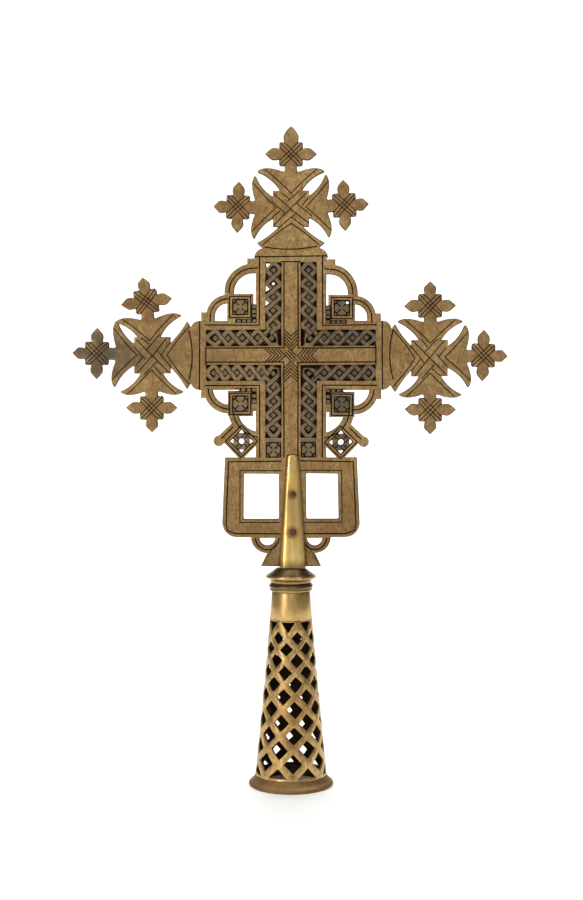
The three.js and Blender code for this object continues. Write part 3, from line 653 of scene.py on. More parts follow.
def head_plate():
    """The pierced and engraved head, carved alike on both faces."""
    loops = [rounded(loop) for loop in sliced_loops("cross_plate", 0.37)]
    relief = Relief()
    strip_panels(relief)
    arm_lines(relief)
    crossing_chevrons(relief)
    finials(relief)
    quadrant_lines(relief)
    frame_lines(relief)
    spots, triangles = triangulated(loops, relief.breaklines + edge_lines(loops))
    heights = worn_edges(spots, loops, relief.heights(spots))
    count = len(spots)
    across = hand_drift(spots)
    surface = PLATE_HALF + heights
    front = np.stack([across[:, 0], -surface, across[:, 1] + CROSSING], axis=1)
    back = front * (1, -1, 1)
    faces = triangles.tolist()
    faces += [[a + count, c + count, b + count] for a, b, c in faces]
    faces += [[b, a, a + count, b + count] for a, b in border_edges(triangles)]
    return piece_from("carved_head", np.vstack([front, back]), faces, 24.0)


# ---- Stem, rivets and turned pieces -------------------------------------------------------------

def lathe(name, profile, wobble, seed, sides=96):
    """A ring turned about the Z axis from a closed profile of (radius, height) points."""
    vertices, faces = [], []
    count = len(profile)
    for k in range(sides):
        angle = 2 * math.pi * k / sides
        for radius, height in profile:
            spot = Vector((math.cos(angle) * 1.3, math.sin(angle) * 1.3, height * 0.08 + seed))
            r = radius * (1 + wobble * noise.noise(spot))
            vertices.append((r * math.sin(angle), -r * math.cos(angle), height))
        after = (k + 1) % sides
        for i in range(count):
            j = (i + 1) % count
            faces.append([k * count + i, after * count + i, after * count + j, k * count + j])
    return piece_from(name, vertices, faces)


def bowed(start, end, swell):
    """Points between two profile points, bowed outward by `swell`."""
    return [(start[0] + (end[0] - start[0]) * t + swell * math.sin(math.pi * t),
             start[1] + (end[1] - start[1]) * t) for t in [i / 6 for i in range(1, 6)]]


STEM_SHIFT = 1.2             # the tines and rivets sit to the right of the turned pieces
STEM_TIP = 207.0
STEM_FOOT = 136.3
SLOT_HALF = PLATE_HALF + 0.3
TINE_TIP_HALF = 3.1
TINE_SPREAD = 5.1
TINE_TIP_THICK = 1.7
TINE_THICKENING = 2.5


def down_stem(height):
    """The share of the way from the tines' tips to their feet."""
    return (STEM_TIP - height) / (STEM_TIP - STEM_FOOT)


def stem_section(height, width_share):
    """One tine's section at a height: flat against the plate, bevelled, with a low crown."""
    share = down_stem(height)
    half = (TINE_TIP_HALF + TINE_SPREAD * share**0.85) * width_share
    thick = TINE_TIP_THICK + TINE_THICKENING * share
    side = 0.55 + 0.5 * share
    rim = []
    for k in range(25):
        across = -1 + 2 * k / 24
        crown = (1 - abs(across) ** 3.2) ** 0.55
        rim.append((half * across, SLOT_HALF + side + (thick - side) * crown))
    return [(-half + 0.15, SLOT_HALF), (-half, SLOT_HALF + 0.2)] + rim + [
        (half, SLOT_HALF + 0.2), (half - 0.15, SLOT_HALF)]


def tine(turn):
    """One tine of the fork as rings of points, from foot to tip."""
    levels = [(STEM_FOOT, 0.985), (STEM_FOOT + 0.25, 1.0)]
    levels += [(STEM_FOOT + 0.6 + 67.9 * k / 34, 1.0) for k in range(35)]
    levels += [(STEM_TIP - 1.1, 0.97), (STEM_TIP - 0.6, 0.9), (STEM_TIP - 0.2, 0.76), (STEM_TIP, 0.58)]
    rings = []
    for height, share in levels:
        ring = []
        for x, depth in stem_section(height, share):
            dent = noise.noise(Vector((x * 0.22 * turn, height * 0.11, 4.0)))
            sink = 0.22 * max(0.0, dent) if depth > SLOT_HALF + 0.5 else 0.0
            ring.append((STEM_SHIFT + turn * x, -turn * (depth - sink), height))
        rings.append(ring)
    return rings


def lofted(rings):
    """Vertices and faces of a closed solid through rings, anticlockwise as seen from above."""
    count = len(rings[0])
    vertices = [point for ring in rings for point in ring]
    faces = []
    for low in range(0, count * (len(rings) - 1), count):
        faces += [[low + i, low + (i + 1) % count, low + count + (i + 1) % count, low + count + i]
                  for i in range(count)]
    faces.append(list(range(count))[::-1])
    faces.append(list(range((len(rings) - 1) * count, len(rings) * count)))
    return vertices, faces


def block_rings(half_x, half_y, low, high, ease):
    """A block with eased ends, as rings."""
    levels = [(low, ease), (low + ease, 0.0), (high - ease, 0.0), (high, ease)]
    return [[(STEM_SHIFT + sx * (half_x - inset), sy * (half_y - inset), z)
             for sx, sy in ((-1, -1), (1, -1), (1, 1), (-1, 1))] for z, inset in levels]


def round_rings(radius, low, high, ease):
    """A round bar with eased ends, as rings."""
    sides = 32
    levels = [(low, ease), (low + ease, 0.0), (high - ease, 0.0), (high, ease)]
    return [[((radius - inset) * math.cos(2 * math.pi * i / sides),
              (radius - inset) * math.sin(2 * math.pi * i / sides), z) for i in range(sides)]
            for z, inset in levels]


def stem():
    """The fork: two tines, the block between their feet, and the tang with its peened head."""
    vertices, faces = [], []
    shells = [tine(1), tine(-1)]
    shells.append(block_rings(6.0, SLOT_HALF - 0.02, STEM_FOOT, STEM_FOOT + 8.4, 0.3))
    shells.append(round_rings(3.2, 118.0, STEM_FOOT + 0.2, 0.1))
    shells.append(round_rings(5.2, 115.9, 118.1, 0.7))
    for shell in shells:
        shell_vertices, shell_faces = lofted(shell)
        faces += [[i + len(vertices) for i in face] for face in shell_faces]
        vertices += shell_vertices
    return piece_from("worn_stem", vertices, faces, 40.0)


def rivet(name, height, head, shank, seed):
    """A rivet with a low, hammered head on both sides."""
    reach = SLOT_HALF + TINE_TIP_THICK + TINE_THICKENING * down_stem(height) + 0.1
    side = [(shank, reach), (head, reach), (head, reach + 0.14), (head * 0.93, reach + 0.3),
            (head * 0.75, reach + 0.46), (head * 0.5, reach + 0.58), (head * 0.22, reach + 0.63),
            (0.02, reach + 0.64)]
    profile = [(r, -y) for r, y in reversed(side)] + side
    vertices, faces = [], []
    sides, count = 32, len(profile)
    for k in range(sides):
        angle = 2 * math.pi * k / sides
        for radius, y in profile:
            spot = Vector((math.cos(angle), math.sin(angle), seed))
            r = radius * (0.95 + 0.09 * noise.noise(spot * 1.6))
            dent = 0.06 * noise.noise(Vector((r * math.cos(angle), r * math.sin(angle), seed)) * 1.3)
            vertices.append((STEM_SHIFT + r * math.cos(angle), y - math.copysign(abs(dent), y),
                             height + r * math.sin(angle)))
        after = (k + 1) % sides
        for i in range(count - 1):
            faces.append([k * count + i, k * count + i + 1, after * count + i + 1, after * count + i])
    faces.append([k * count for k in range(sides)])
    faces.append([k * count + count - 1 for k in range(sides)][::-1])
    return piece_from(name, vertices, faces, 50.0)


BORE = 3.5                   # radius of the hole for the tang


def knop():
    """The conical boss, with a sharp bright rim over a hollow waist."""
    top, rim, under, waist = (9.3, 135.7), (15.85, 131.1), (15.6, 129.9), (12.9, 127.6)
    profile = [(BORE, 126.8), (12.5, 126.8), (12.85, 127.1), waist]
    profile += bowed(waist, under, -0.5) + [under, (15.95, 130.4), (16.0, 130.7), rim]
    profile += bowed(rim, top, -0.25) + [top, (8.8, 135.95), (8.2, 136.0), (BORE, 136.0)]
    return lathe("turned_knop", profile, wobble=0.008, seed=1)


def neck_ring():
    """The dark bulging ring between knop and sleeve, with a bright lip at its foot."""
    lip, bulge, high = (13.5, 122.4), (13.8, 124.6), (12.9, 126.3)
    profile = [(BORE, 121.7), (12.6, 121.7), (13.1, 121.8), (13.42, 122.1), lip, (13.4, 122.75),
               (13.05, 123.0), (13.1, 123.25), (13.6, 123.8)]
    profile += [bulge] + bowed(bulge, high, 0.25) + [high, (12.7, 126.5), (BORE, 126.5)]
    return lathe("turned_ring", profile, wobble=0.012, seed=2)


def sleeve():
    """The plain cup over the lattice."""
    profile = [(11.45, 104.2), (13.35, 104.2), (13.4, 104.35), (12.75, 112.0), (12.2, 120.6),
               (12.0, 121.2), (11.7, 121.4), (BORE, 121.4), (BORE, 118.4), (10.2, 118.4),
               (10.6, 118.0)]
    return lathe("plain_sleeve", profile, wobble=0.006, seed=3)


def flange():
    """The flared foot ring: a shallow cone that ends in a thin lip."""
    inner, lip, neck = 20.4, (26.2, 1.75), (22.6, 6.1)
    profile = [(inner, 0.0), (26.0, 0.0), (26.35, 0.2), (26.5, 0.6), (26.45, 1.2), lip]
    profile += bowed(lip, neck, -0.75) + [neck, (22.4, 6.3), (inner, 6.3)]
    return lathe("base_flange_ring", profile, sides=128, wobble=0.004, seed=4)


# ---- Lattice ------------------------------------------------------------------------------------

LATTICE_LOW = 6.6
LATTICE_HIGH = 103.9
LOW_RADIUS = 22.4
HIGH_RADIUS = 13.4
SOCKET_WALL = 2.0
MEAN_RADIUS = 18.0           # turns degrees round the socket into millimetres along it
HOLES_AROUND = 7
ROWS = 11
TOP_RING = 103.3
BOTTOM_RING = 8.2
HOLE_HALF_ANGLE = 16.4       # degrees
HOLE_HALF_HEIGHT = 4.1       # of the top row
HOLE_GROWTH = 1.8            # what the bottom row's half height adds to it
TRIANGLE_HALF_ANGLE = 18.5   # the row of triangles under the top ring
TRIANGLE_HALF_HEIGHT = 3.6
FIRST_ROW_HEIGHT = 93.5
ROW_STEP = 6.8
ROW_STEP_GROWTH = 0.19
FIRST_ROW_PHASE = 17.2       # degrees from the front, towards +X
TWIST_PER_ROW = 1.9
TWIST_EASING = 0.055
REAR_SHRINK = 0.45
REAR_LIFT = 2.0


def row_height(row):
    return FIRST_ROW_HEIGHT - row * ROW_STEP - ROW_STEP_GROWTH * row * (row - 1) / 2


def hole_outline(row, index, dice):
    """One hand-cut diamond, as (degrees, height) corners; the rings cut off the end rows.

    Round the back the holes are smaller, and the upper rows sit a little higher.
    """
    share = min(max(row / (ROWS - 1), 0.0), 1.0)
    half_angle, half_height = HOLE_HALF_ANGLE, HOLE_HALF_HEIGHT + HOLE_GROWTH * share
    if row < 0:
        half_angle, half_height = TRIANGLE_HALF_ANGLE, TRIANGLE_HALF_HEIGHT
    twist = FIRST_ROW_PHASE - row * (TWIST_PER_ROW - TWIST_EASING * row)
    angle = twist - (0 if row % 2 == 0 else 180 / HOLES_AROUND) + index * 360 / HOLES_AROUND
    rear = ((1 - math.cos(math.radians(angle))) / 2) ** 2
    half_angle *= 1 - REAR_SHRINK * rear
    half_height *= 1 - REAR_SHRINK * rear
    height = row_height(row) + REAR_LIFT * rear * (1 - share)

    def nudge(size):
        return dice.uniform(-size, size)

    left = (angle - half_angle + nudge(1.1), height + nudge(0.45))
    right = (angle + half_angle + nudge(1.1), height + nudge(0.45))
    top = (angle + nudge(1.4), height + half_height + nudge(0.3))
    low = (angle + nudge(1.4), height - half_height + nudge(0.3))
    if row < 0:
        return [(left[0], TOP_RING), low, (right[0], TOP_RING)]
    if row == ROWS:
        return [(left[0], BOTTOM_RING), (right[0], BOTTOM_RING), top]
    return [left, low, right, top]


def eased(corners, ease, bow):
    """A closed outline with small rounded corners and slightly bowed sides."""
    drawn = []
    for before, point, after in zip(corners[-1:] + corners[:-1], corners, corners[1:] + corners[:1]):
        p = np.array(point)
        to_before = np.array(before) - p
        to_after = np.array(after) - p
        start = p + to_before * ease / np.linalg.norm(to_before)
        end = p + to_after * ease / np.linalg.norm(to_after)
        drawn += [tuple(start), tuple(0.25 * start + 0.5 * p + 0.25 * end), tuple(end)]
        middle = p + 0.5 * to_after
        normal = np.array([to_after[1], -to_after[0]]) / np.linalg.norm(to_after)
        drawn.append(tuple(middle + bow * normal))
    return drawn


def lattice():
    """The tapered socket tube, with its rows of hand-cut diamonds."""
    scale = math.radians(1) * MEAN_RADIUS
    half_turn = 180 * scale
    wall = box_corners(-half_turn, LATTICE_LOW, half_turn, LATTICE_HIGH)
    holes = []
    for row in range(-1, ROWS + 1):
        for index in range(HOLES_AROUND):
            dice = random.Random(row * 31 + index)
            outline = [(a * scale, z) for a, z in hole_outline(row, index, dice)]
            outline = eased(outline, 0.4, dice.uniform(-0.1, 0.15))
            for shift in (0.0, -2 * half_turn, 2 * half_turn):
                moved = [(x + shift, z) for x, z in outline]
                if min(moved)[0] <= half_turn and max(moved)[0] >= -half_turn:
                    holes.append(moved)
    lines = [[(degrees * scale, LATTICE_LOW), (degrees * scale, LATTICE_HIGH)]
             for degrees in range(-180, 181, 5)]
    lines += [[(-half_turn, z), (half_turn, z)] for z in np.linspace(LATTICE_LOW, LATTICE_HIGH, 21)[1:-1]]
    lines += edge_lines([wall] + holes, 0.5)[2:]
    spots, triangles = triangulated([wall] + holes, lines)
    heights = worn_edges(spots, holes, np.zeros(len(spots)), 0.5, 0.32)
    angle = spots[:, 0] / MEAN_RADIUS
    share = (spots[:, 1] - LATTICE_LOW) / (LATTICE_HIGH - LATTICE_LOW)
    radius = LOW_RADIUS + (HIGH_RADIUS - LOW_RADIUS) * share

    def on_cone(radii):
        return np.stack([radii * np.sin(angle), -radii * np.cos(angle), spots[:, 1]], axis=1)

    dents = np.array([noise.noise(Vector((math.sin(a) * 2.2, math.cos(a) * 2.2, z * 0.09)))
                      for a, z in zip(angle, spots[:, 1])])
    outer = on_cone(radius + heights - 0.18 * (1 + dents) * (1 - share) * share * 4)
    inner = on_cone(radius - SOCKET_WALL)
    count = len(spots)
    faces = triangles.tolist()
    faces += [[a + count, c + count, b + count] for a, b, c in faces]
    on_seam = np.abs(np.abs(spots[:, 0]) - half_turn) < 1e-3
    faces += [[b, a, a + count, b + count] for a, b in border_edges(triangles)
              if not (on_seam[a] and on_seam[b])]
    vertices, faces = welded(np.vstack([outer, inner]), faces)
    return piece_from("cut_lattice", vertices, faces, 28.0)


def welded(vertices, faces):
    """The same mesh with vertices at one place made one."""
    keys = np.round(vertices, 3)
    _, first, place = np.unique(keys, axis=0, return_index=True, return_inverse=True)
    place = place.reshape(-1)
    joined = [[int(place[i]) for i in face] for face in faces]
    return vertices[first], [face for face in joined if len(set(face)) == len(face)]


# ---- Materials ----------------------------------------------------------------------------------

class Nodes:
    """A material's node tree, with short ways to add what its textures need."""

    def __init__(self, name, metallic):
        self.material = bpy.data.materials.new(name)
        self.material.use_nodes = True
        self.tree = self.material.node_tree
        self.shader = self.tree.nodes["Principled BSDF"]
        self.shader.inputs["Metallic"].default_value = metallic
        self.place = self.tree.nodes.new("ShaderNodeTexCoord").outputs["Object"]

    def add(self, kind, **settings):
        node = self.tree.nodes.new(kind)
        for key, value in settings.items():
            setattr(node, key, value)
        return node

    def link(self, source, target):
        self.tree.links.new(source, target)

    def fill(self, socket, value):
        """Sets a socket to a number or a colour, or links another node's output to it."""
        if isinstance(value, tuple):
            socket.default_value = (*value, 1.0)
        elif isinstance(value, (int, float)):
            socket.default_value = value
        else:
            self.link(value, socket)

    def noise(self, scale, detail=4.0, roughness=0.6, stretch=(1.0, 1.0, 1.0), distortion=0.0):
        mapping = self.add("ShaderNodeMapping")
        mapping.inputs["Scale"].default_value = stretch
        self.link(self.place, mapping.inputs["Vector"])
        node = self.add("ShaderNodeTexNoise")
        node.inputs["Scale"].default_value = scale
        node.inputs["Detail"].default_value = detail
        node.inputs["Roughness"].default_value = roughness
        node.inputs["Distortion"].default_value = distortion
        self.link(mapping.outputs["Vector"], node.inputs["Vector"])
        return node.outputs["Fac"]

    def range(self, value, low, high, to_low=0.0, to_high=1.0, smooth=True):
        node = self.add("ShaderNodeMapRange")
        node.interpolation_type = "SMOOTHSTEP" if smooth else "LINEAR"
        node.inputs["From Min"].default_value = low
        node.inputs["From Max"].default_value = high
        node.inputs["To Min"].default_value = to_low
        node.inputs["To Max"].default_value = to_high
        self.link(value, node.inputs["Value"])
        return node.outputs["Result"]

    def math(self, operation, first, second=0.5):
        node = self.add("ShaderNodeMath", operation=operation)
        self.fill(node.inputs[0], first)
        self.fill(node.inputs[1], second)
        return node.outputs["Value"]

    def times(self, first, second):
        return self.math("MULTIPLY", first, second)

    def plus(self, first, second):
        return self.math("ADD", first, second)

    def minus(self, first, second):
        return self.math("SUBTRACT", first, second)

    def between(self, value, low, low_full, high_full, high, share=1.0):
        """The share given between two limits, falling to 0 outside them."""
        return self.times(self.range(value, low, low_full, 0.0, share),
                          self.range(value, high_full, high, 1.0, 0.0))

    def mix(self, share, first, second):
        node = self.add("ShaderNodeMix", data_type="RGBA")
        self.fill(node.inputs[0], share)
        self.fill(node.inputs[6], first)
        self.fill(node.inputs[7], second)
        return node.outputs[2]

    def axis(self, name):
        node = self.add("ShaderNodeSeparateXYZ")
        self.link(self.place, node.inputs["Vector"])
        return node.outputs[name]

    def near(self, spot, radius, soft=0.5):
        """1 near a place on the object, falling to 0 at a radius in metres."""
        node = self.add("ShaderNodeVectorMath", operation="DISTANCE")
        self.link(self.place, node.inputs[0])
        node.inputs[1].default_value = spot
        return self.range(node.outputs["Value"], radius * (1 - soft), radius, 1.0, 0.0)

    def finish(self, colour, roughness, bump, strength, distance):
        node = self.add("ShaderNodeBump")
        node.inputs["Strength"].default_value = strength
        node.inputs["Distance"].default_value = distance
        self.link(bump, node.inputs["Height"])
        self.link(node.outputs["Normal"], self.shader.inputs["Normal"])
        self.link(colour, self.shader.inputs["Base Color"])
        self.link(roughness, self.shader.inputs["Roughness"])
        return self.material


# The head
BRASS = (0.46, 0.288, 0.113)
BRASS_LIGHT = (0.66, 0.455, 0.195)
BRASS_DARK = (0.15, 0.075, 0.028)
STRAND_BRASS = (0.33, 0.24, 0.125)
STRAND_DARK = (0.125, 0.105, 0.082)
EDGE_BROWN = (0.09, 0.042, 0.02)
WALL_BROWN = (0.20, 0.115, 0.05)
SOOT = (0.008, 0.005, 0.003)
RED_BROWN = (0.22, 0.095, 0.045)
GREEN_GREY = (0.12, 0.10, 0.07)
TAN = (0.24, 0.15, 0.07)
# The stem
TINE_BRASS = (0.90, 0.60, 0.19)
TINE_LIGHT = (0.98, 0.72, 0.27)
TINE_STREAK = (0.42, 0.27, 0.10)
TINE_WORN = (0.33, 0.225, 0.08)
RUST_HALO = (0.30, 0.13, 0.045)
FOOT_DARKENING = (0.16, 0.085, 0.035)
# The socket's pieces
SOCKET_BRASS = (0.57, 0.365, 0.13)
SOCKET_LIGHT = (0.77, 0.53, 0.215)
SLEEVE_BRASS = (0.66, 0.44, 0.17)
SOCKET_INSIDE_SHADE = (0.035, 0.020, 0.010)
RING_DARK = (0.07, 0.052, 0.028)
CONE_DARK = (0.062, 0.044, 0.021)
WAIST_BROWN = (0.12, 0.07, 0.03)
# Painted shade on the flange, with a browner tone
FLANGE_SHADE_BROWN = (0.19, 0.105, 0.045)
# The rivets
RUST = (0.125, 0.060, 0.036)
IRON = (0.060, 0.035, 0.028)


def aged(nodes, base, light, grain_share):
    """Brass with cloudy tarnish, mottling, fine grain, small dark specks and reddish stains."""
    cloud = nodes.range(nodes.noise(26, 5.0, 0.62), 0.34, 0.68)
    mottle = nodes.range(nodes.noise(260, 5.0, 0.72), 0.36, 0.66)
    grain = nodes.range(nodes.noise(1050, 3.0, 0.75, (1.0, 1.0, 0.45)), 0.38, 0.66)
    specks = nodes.range(nodes.noise(620, 2.0, 0.6), 0.63, 0.70)
    stain = nodes.range(nodes.noise(60, 5.0, 0.7, distortion=0.8), 0.53, 0.72, 0.0, 0.5)
    colour = nodes.mix(cloud, base, light)
    colour = nodes.mix(nodes.times(mottle, 0.42), colour, BRASS_DARK)
    colour = nodes.mix(nodes.times(grain, grain_share), colour, BRASS_DARK)
    colour = nodes.mix(stain, colour, RED_BROWN)
    return nodes.mix(nodes.times(specks, 0.6), colour, BRASS_DARK), cloud, grain


# Tarnished patches of the head: x and v from the crossing, radius, share and colour
PATCHES = [
    (-122.0, 0.0, 24.0, 0.9, GREEN_GREY), (-108.0, -2.0, 16.0, 0.6, GREEN_GREY),
    (-94.0, 33.0, 20.0, 0.7, (0.20, 0.11, 0.055)), (-84.0, -33.0, 20.0, 0.45, (0.22, 0.13, 0.06)),
    (-34.0, 93.0, 20.0, 0.6, (0.22, 0.11, 0.05)), (34.0, 95.0, 20.0, 0.5, (0.24, 0.13, 0.06)),
    (0.0, 128.0, 20.0, 0.3, TAN), (88.0, 32.0, 18.0, 0.4, (0.24, 0.15, 0.08)),
    (121.0, -2.0, 20.0, 0.35, (0.24, 0.15, 0.08)), (32.0, -32.0, 14.0, 0.45, (0.14, 0.10, 0.065)),
    (88.0, -34.0, 18.0, 0.35, TAN), (-60.0, 0.0, 34.0, 0.5, (0.20, 0.12, 0.055)),
    (-92.0, 0.0, 20.0, 0.6, (0.15, 0.10, 0.055)), (-34.0, -34.0, 15.0, 0.5, (0.20, 0.12, 0.06)),
]


def painted_shadow_beside_tine(nodes):
    """Painted shadow on the plate in the corner beside the tine's edges, strongest against the tine."""
    half_width = nodes.range(nodes.axis("Z"), 0.137, 0.206, 0.0082, 0.0033, False)
    across = nodes.math("ABSOLUTE", nodes.minus(nodes.axis("X"), STEM_SHIFT * MM))
    strength = nodes.range(nodes.minus(across, half_width), -0.0002, 0.0017, 0.85, 0.0)
    return nodes.times(strength, nodes.range(nodes.axis("Z"), 0.2068, 0.2078, 1.0, 0.0))


def head_material():
    """Aged brass whose cuts are filled with dark patina, by depth under the plate's face, with painted
    shade towards the bottom and beside the tine.
    """
    nodes = Nodes("head_brass", 0.82)
    colour, cloud, grain = aged(nodes, BRASS, BRASS_LIGHT, 0.55)
    # Painted shade: the head darker towards its bottom, for the darker surroundings below.
    colour = nodes.mix(nodes.range(nodes.axis("Z"), 0.13, 0.235, 0.5, 0.0), colour, BRASS_DARK)
    edge = nodes.range(nodes.noise(90, 4.0, 0.65), 0.35, 0.6, 0.5, 1.0)
    for x, v, radius, share, tarnish in PATCHES:
        near = nodes.near((x * MM, 0.0, (v + CROSSING) * MM), radius * MM, 0.6)
        colour = nodes.mix(nodes.times(nodes.times(near, share), edge), colour, tarnish)
    depth = nodes.minus(PLATE_HALF * MM, nodes.math("ABSOLUTE", nodes.axis("Y")))
    depth = nodes.times(depth, 1 / MM)
    patina = nodes.range(nodes.noise(300, 5.0, 0.7), 0.34, 0.68)
    rightward = nodes.range(nodes.axis("X"), -0.035, 0.035, 0.0, 0.55)
    strands = nodes.mix(nodes.plus(nodes.times(patina, 0.6), rightward), STRAND_BRASS, STRAND_DARK)
    colour = nodes.mix(nodes.times(nodes.range(depth, 0.04, 0.1), 0.9), colour, strands)
    colour = nodes.mix(nodes.range(depth, 0.14, 0.26, 0.0, 0.7), colour, EDGE_BROWN)
    colour = nodes.mix(nodes.range(depth, 0.24, 0.40), colour, SOOT)
    colour = nodes.mix(nodes.range(depth, 1.02, 1.12), colour, WALL_BROWN)
    # Painted shadow of the tine on the plate, in the edges' dark brown.
    colour = nodes.mix(painted_shadow_beside_tine(nodes), colour, EDGE_BROWN)
    rough = nodes.plus(nodes.range(cloud, 0.0, 1.0, 0.44, 0.34), nodes.range(depth, 0.1, 0.4, 0.0, 0.35))
    rough = nodes.plus(rough, nodes.times(grain, 0.1))
    bump = nodes.plus(nodes.noise(260, 4.0, 0.65), nodes.times(nodes.noise(1500, 2.0), 0.45))
    return nodes.finish(colour, rough, bump, 0.5, 0.0004)


def stem_material():
    """Brighter, hand-polished brass with lengthways streaks and rusty rings round the rivets."""
    nodes = Nodes("stem_brass", 0.9)
    height = nodes.axis("Z")
    streak = nodes.range(nodes.noise(340, 4.0, 0.65, (1.0, 1.0, 0.12)), 0.35, 0.7)
    cloud = nodes.range(nodes.noise(60, 4.0, 0.6), 0.35, 0.65)
    colour = nodes.mix(cloud, TINE_BRASS, TINE_LIGHT)
    colour = nodes.mix(nodes.times(streak, 0.42), colour, TINE_STREAK)
    colour = nodes.mix(nodes.between(height, 0.150, 0.166, 0.182, 0.192, 0.3), colour, TINE_WORN)
    for rivet_height, radius in ((0.1824, 0.0045), (0.1588, 0.0052)):
        for side in (-1, 1):
            spot = (STEM_SHIFT * MM - 0.0005, side * 0.0062, rivet_height - 0.0002)
            colour = nodes.mix(nodes.times(nodes.near(spot, radius), 0.8), colour, RUST_HALO)
    # Darker towards the tines' foot, where they meet the knop.
    colour = nodes.mix(nodes.range(height, 0.1363, 0.1425, 0.75, 0.0), colour, FOOT_DARKENING)
    rough = nodes.range(cloud, 0.0, 1.0, 0.34, 0.27)
    bump = nodes.plus(nodes.noise(220, 3.0, 0.6), nodes.times(streak, 0.6))
    return nodes.finish(colour, rough, bump, 0.25, 0.00025)


def socket_material():
    """Satin aged brass of the turned pieces, darker in the neck, with painted shade inside the socket and
    on the flange.
    """
    nodes = Nodes("socket_brass", 0.88)
    colour, cloud, grain = aged(nodes, SOCKET_BRASS, SOCKET_LIGHT, 0.4)
    height = nodes.axis("Z")
    radius = nodes.math("SQRT", nodes.plus(nodes.math("POWER", nodes.axis("X"), 2.0),
                                           nodes.math("POWER", nodes.axis("Y"), 2.0)))
    # Painted shade inside the socket: surfaces about a millimetre or more under its outside are made near
    # black.
    outside = nodes.range(height, LATTICE_LOW * MM, LATTICE_HIGH * MM,
                          LOW_RADIUS * MM, HIGH_RADIUS * MM, False)
    inside = nodes.times(nodes.range(nodes.minus(outside, radius), 0.0005, 0.0011),
                         nodes.range(height, 0.1036, 0.1039, 1.0, 0.0))
    colour = nodes.mix(inside, colour, SOCKET_INSIDE_SHADE)
    colour = nodes.mix(nodes.between(height, 0.1228, 0.1233, 0.1265, 0.1268, 0.8), colour, RING_DARK)
    colour = nodes.mix(nodes.range(height, 0.1312, 0.1318, 0.0, 0.85), colour, CONE_DARK)
    colour = nodes.mix(nodes.between(height, 0.1268, 0.127, 0.1285, 0.1305, 0.5), colour, WAIST_BROWN)
    # Painted shade, with a browner tone: the flange darker for the darker surroundings below.
    flange = nodes.range(height, 0.0064, 0.0066, 0.75, 0.0)
    colour = nodes.mix(flange, colour, FLANGE_SHADE_BROWN)
    colour = nodes.mix(nodes.between(height, 0.1040, 0.1055, 0.119, 0.1212, 0.6), colour, SLEEVE_BRASS)
    rough = nodes.plus(nodes.range(cloud, 0.0, 1.0, 0.36, 0.28), nodes.times(inside, 0.4))
    rough = nodes.plus(rough, nodes.times(flange, 0.35))
    bump = nodes.plus(nodes.noise(240, 4.0, 0.65), nodes.times(grain, 0.4))
    return nodes.finish(colour, rough, bump, 0.28, 0.00028)


def rivet_material():
    """Dark brown iron."""
    nodes = Nodes("rivet_iron", 0.5)
    rust = nodes.range(nodes.noise(900, 4.0, 0.7), 0.35, 0.65)
    rough = nodes.range(rust, 0.0, 1.0, 0.5, 0.7)
    return nodes.finish(nodes.mix(rust, RUST, IRON), rough, nodes.noise(1400, 3.0), 0.5, 0.0003)


# ---- Studio -------------------------------------------------------------------------------------

def camera():
    """A level camera a little above the cross's middle, square to its front."""
    distance, eye_height, view_height, view_middle = 0.930, 0.249, 0.567, 0.210
    data = bpy.data.cameras.new("camera")
    data.sensor_fit = "VERTICAL"
    data.sensor_height = 36.0
    data.lens = data.sensor_height * distance / view_height
    data.shift_y = (view_middle - eye_height) / view_height
    eye = bpy.data.objects.new("camera", data)
    eye.location = (0.0003, -distance, eye_height)
    eye.rotation_euler = (math.radians(90), 0.0, 0.0)
    bpy.context.scene.collection.objects.link(eye)
    bpy.context.scene.camera = eye


def light(name, place, aim, width, height, power, colour=(1.0, 1.0, 1.0)):
    """A rectangular softbox that faces a point."""
    data = bpy.data.lights.new(name, "AREA")
    data.shape = "RECTANGLE"
    data.size = width
    data.size_y = height
    data.energy = power
    data.color = colour
    lamp = bpy.data.objects.new(name, data)
    lamp.location = place
    lamp.rotation_euler = (Vector(aim) - Vector(place)).to_track_quat("-Z", "Y").to_euler()
    bpy.context.scene.collection.objects.link(lamp)


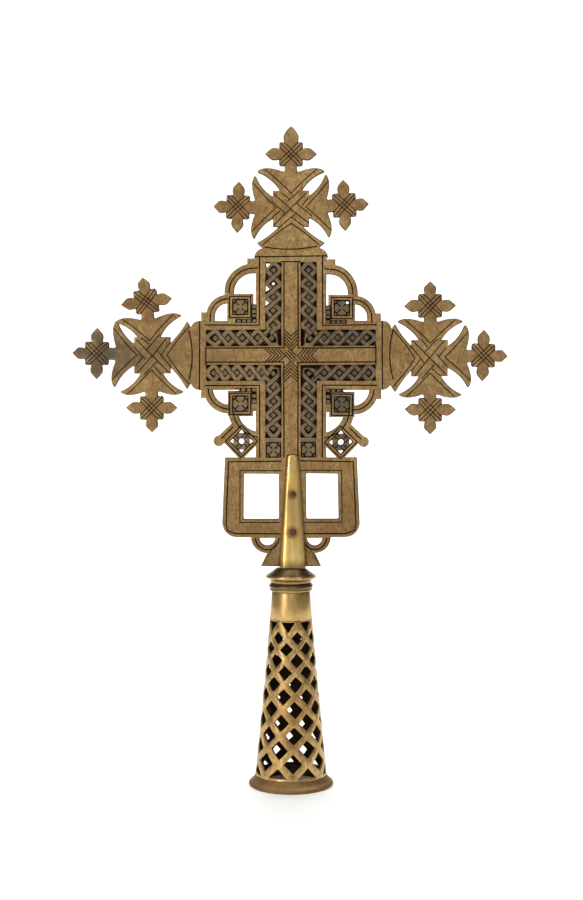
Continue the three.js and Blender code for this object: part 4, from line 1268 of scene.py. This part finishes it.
def floor():
    """A pale floor that sweeps up into a pale backdrop."""
    half_width, front, bend_start, bend_radius, top = 1.0, -3.0, 1.6, 0.8, 3.0
    bend = [(bend_start + bend_radius * math.sin(a), bend_radius * (1 - math.cos(a)))
            for a in np.linspace(0, math.pi / 2, 14)]
    profile = [(front, 0.0)] + bend + [(bend_start + bend_radius, top)]
    vertices = [(x, y, z) for x in (-half_width, half_width) for y, z in profile]
    count = len(profile)
    mesh = bpy.data.meshes.new("floor")
    mesh.from_pydata(vertices, [], [(i, count + i, count + i + 1, i + 1) for i in range(count - 1)])
    mesh.shade_smooth()
    material = bpy.data.materials.new("pale_floor")
    material.use_nodes = True
    shader = material.node_tree.nodes["Principled BSDF"]
    shader.inputs["Base Color"].default_value = (0.9, 0.9, 0.9, 1.0)
    shader.inputs["Roughness"].default_value = 0.9
    mesh.materials.append(material)
    sweep = bpy.data.objects.new("floor", mesh)
    bpy.context.scene.collection.objects.link(sweep)


def studio():
    """The floor under soft light, mostly from the front and with one narrow softbox at the left."""
    floor()
    world = bpy.data.worlds.new("studio")
    bpy.context.scene.world = world
    world.use_nodes = True
    background = world.node_tree.nodes["Background"]
    background.inputs["Color"].default_value = (1.0, 0.98, 0.95, 1.0)
    background.inputs["Strength"].default_value = 0.15
    light("left_softbox", (-0.80, -0.95, 0.45), (0.0, 0.0, 0.16), 0.12, 0.9, 5.0, (1.0, 0.95, 0.87))
    light("front_softbox", (0.25, -1.5, 1.1), (0.0, 0.0, 0.2), 0.8, 0.8, 4.4, (1.0, 0.97, 0.93))
    light("front_wall", (0.0, -3.2, 0.7), (0.0, 0.0, 0.2), 2.6, 2.6, 3.2, (1.0, 0.97, 0.92))
    light("backdrop_light", (0.0, 0.9, 2.6), (0.0, 2.0, 0.3), 2.5, 2.5, 120)
    bpy.context.scene.view_settings.view_transform = "Standard"


# ---- The cross ----------------------------------------------------------------------------------

def dressed(piece, material, node):
    """Gives a piece its material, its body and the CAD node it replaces."""
    piece.data.materials.append(material)
    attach(piece, "root")
    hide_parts(node)


camera()
studio()
socket_brass = socket_material()
iron = rivet_material()
dressed(head_plate(), head_material(), "cross_plate")
dressed(stem(), stem_material(), "forked_stem")
dressed(rivet("worn_upper_rivet", 182.4, 1.9, 1.2, 1.0), iron, "upper_rivet")
dressed(rivet("worn_lower_rivet", 158.8, 2.3, 1.6, 2.0), iron, "lower_rivet")
dressed(knop(), socket_brass, "knop")
dressed(neck_ring(), socket_brass, "neck_ring")
dressed(sleeve(), socket_brass, "sleeve")
dressed(lattice(), socket_brass, "lattice_socket")
dressed(flange(), socket_brass, "base_flange")
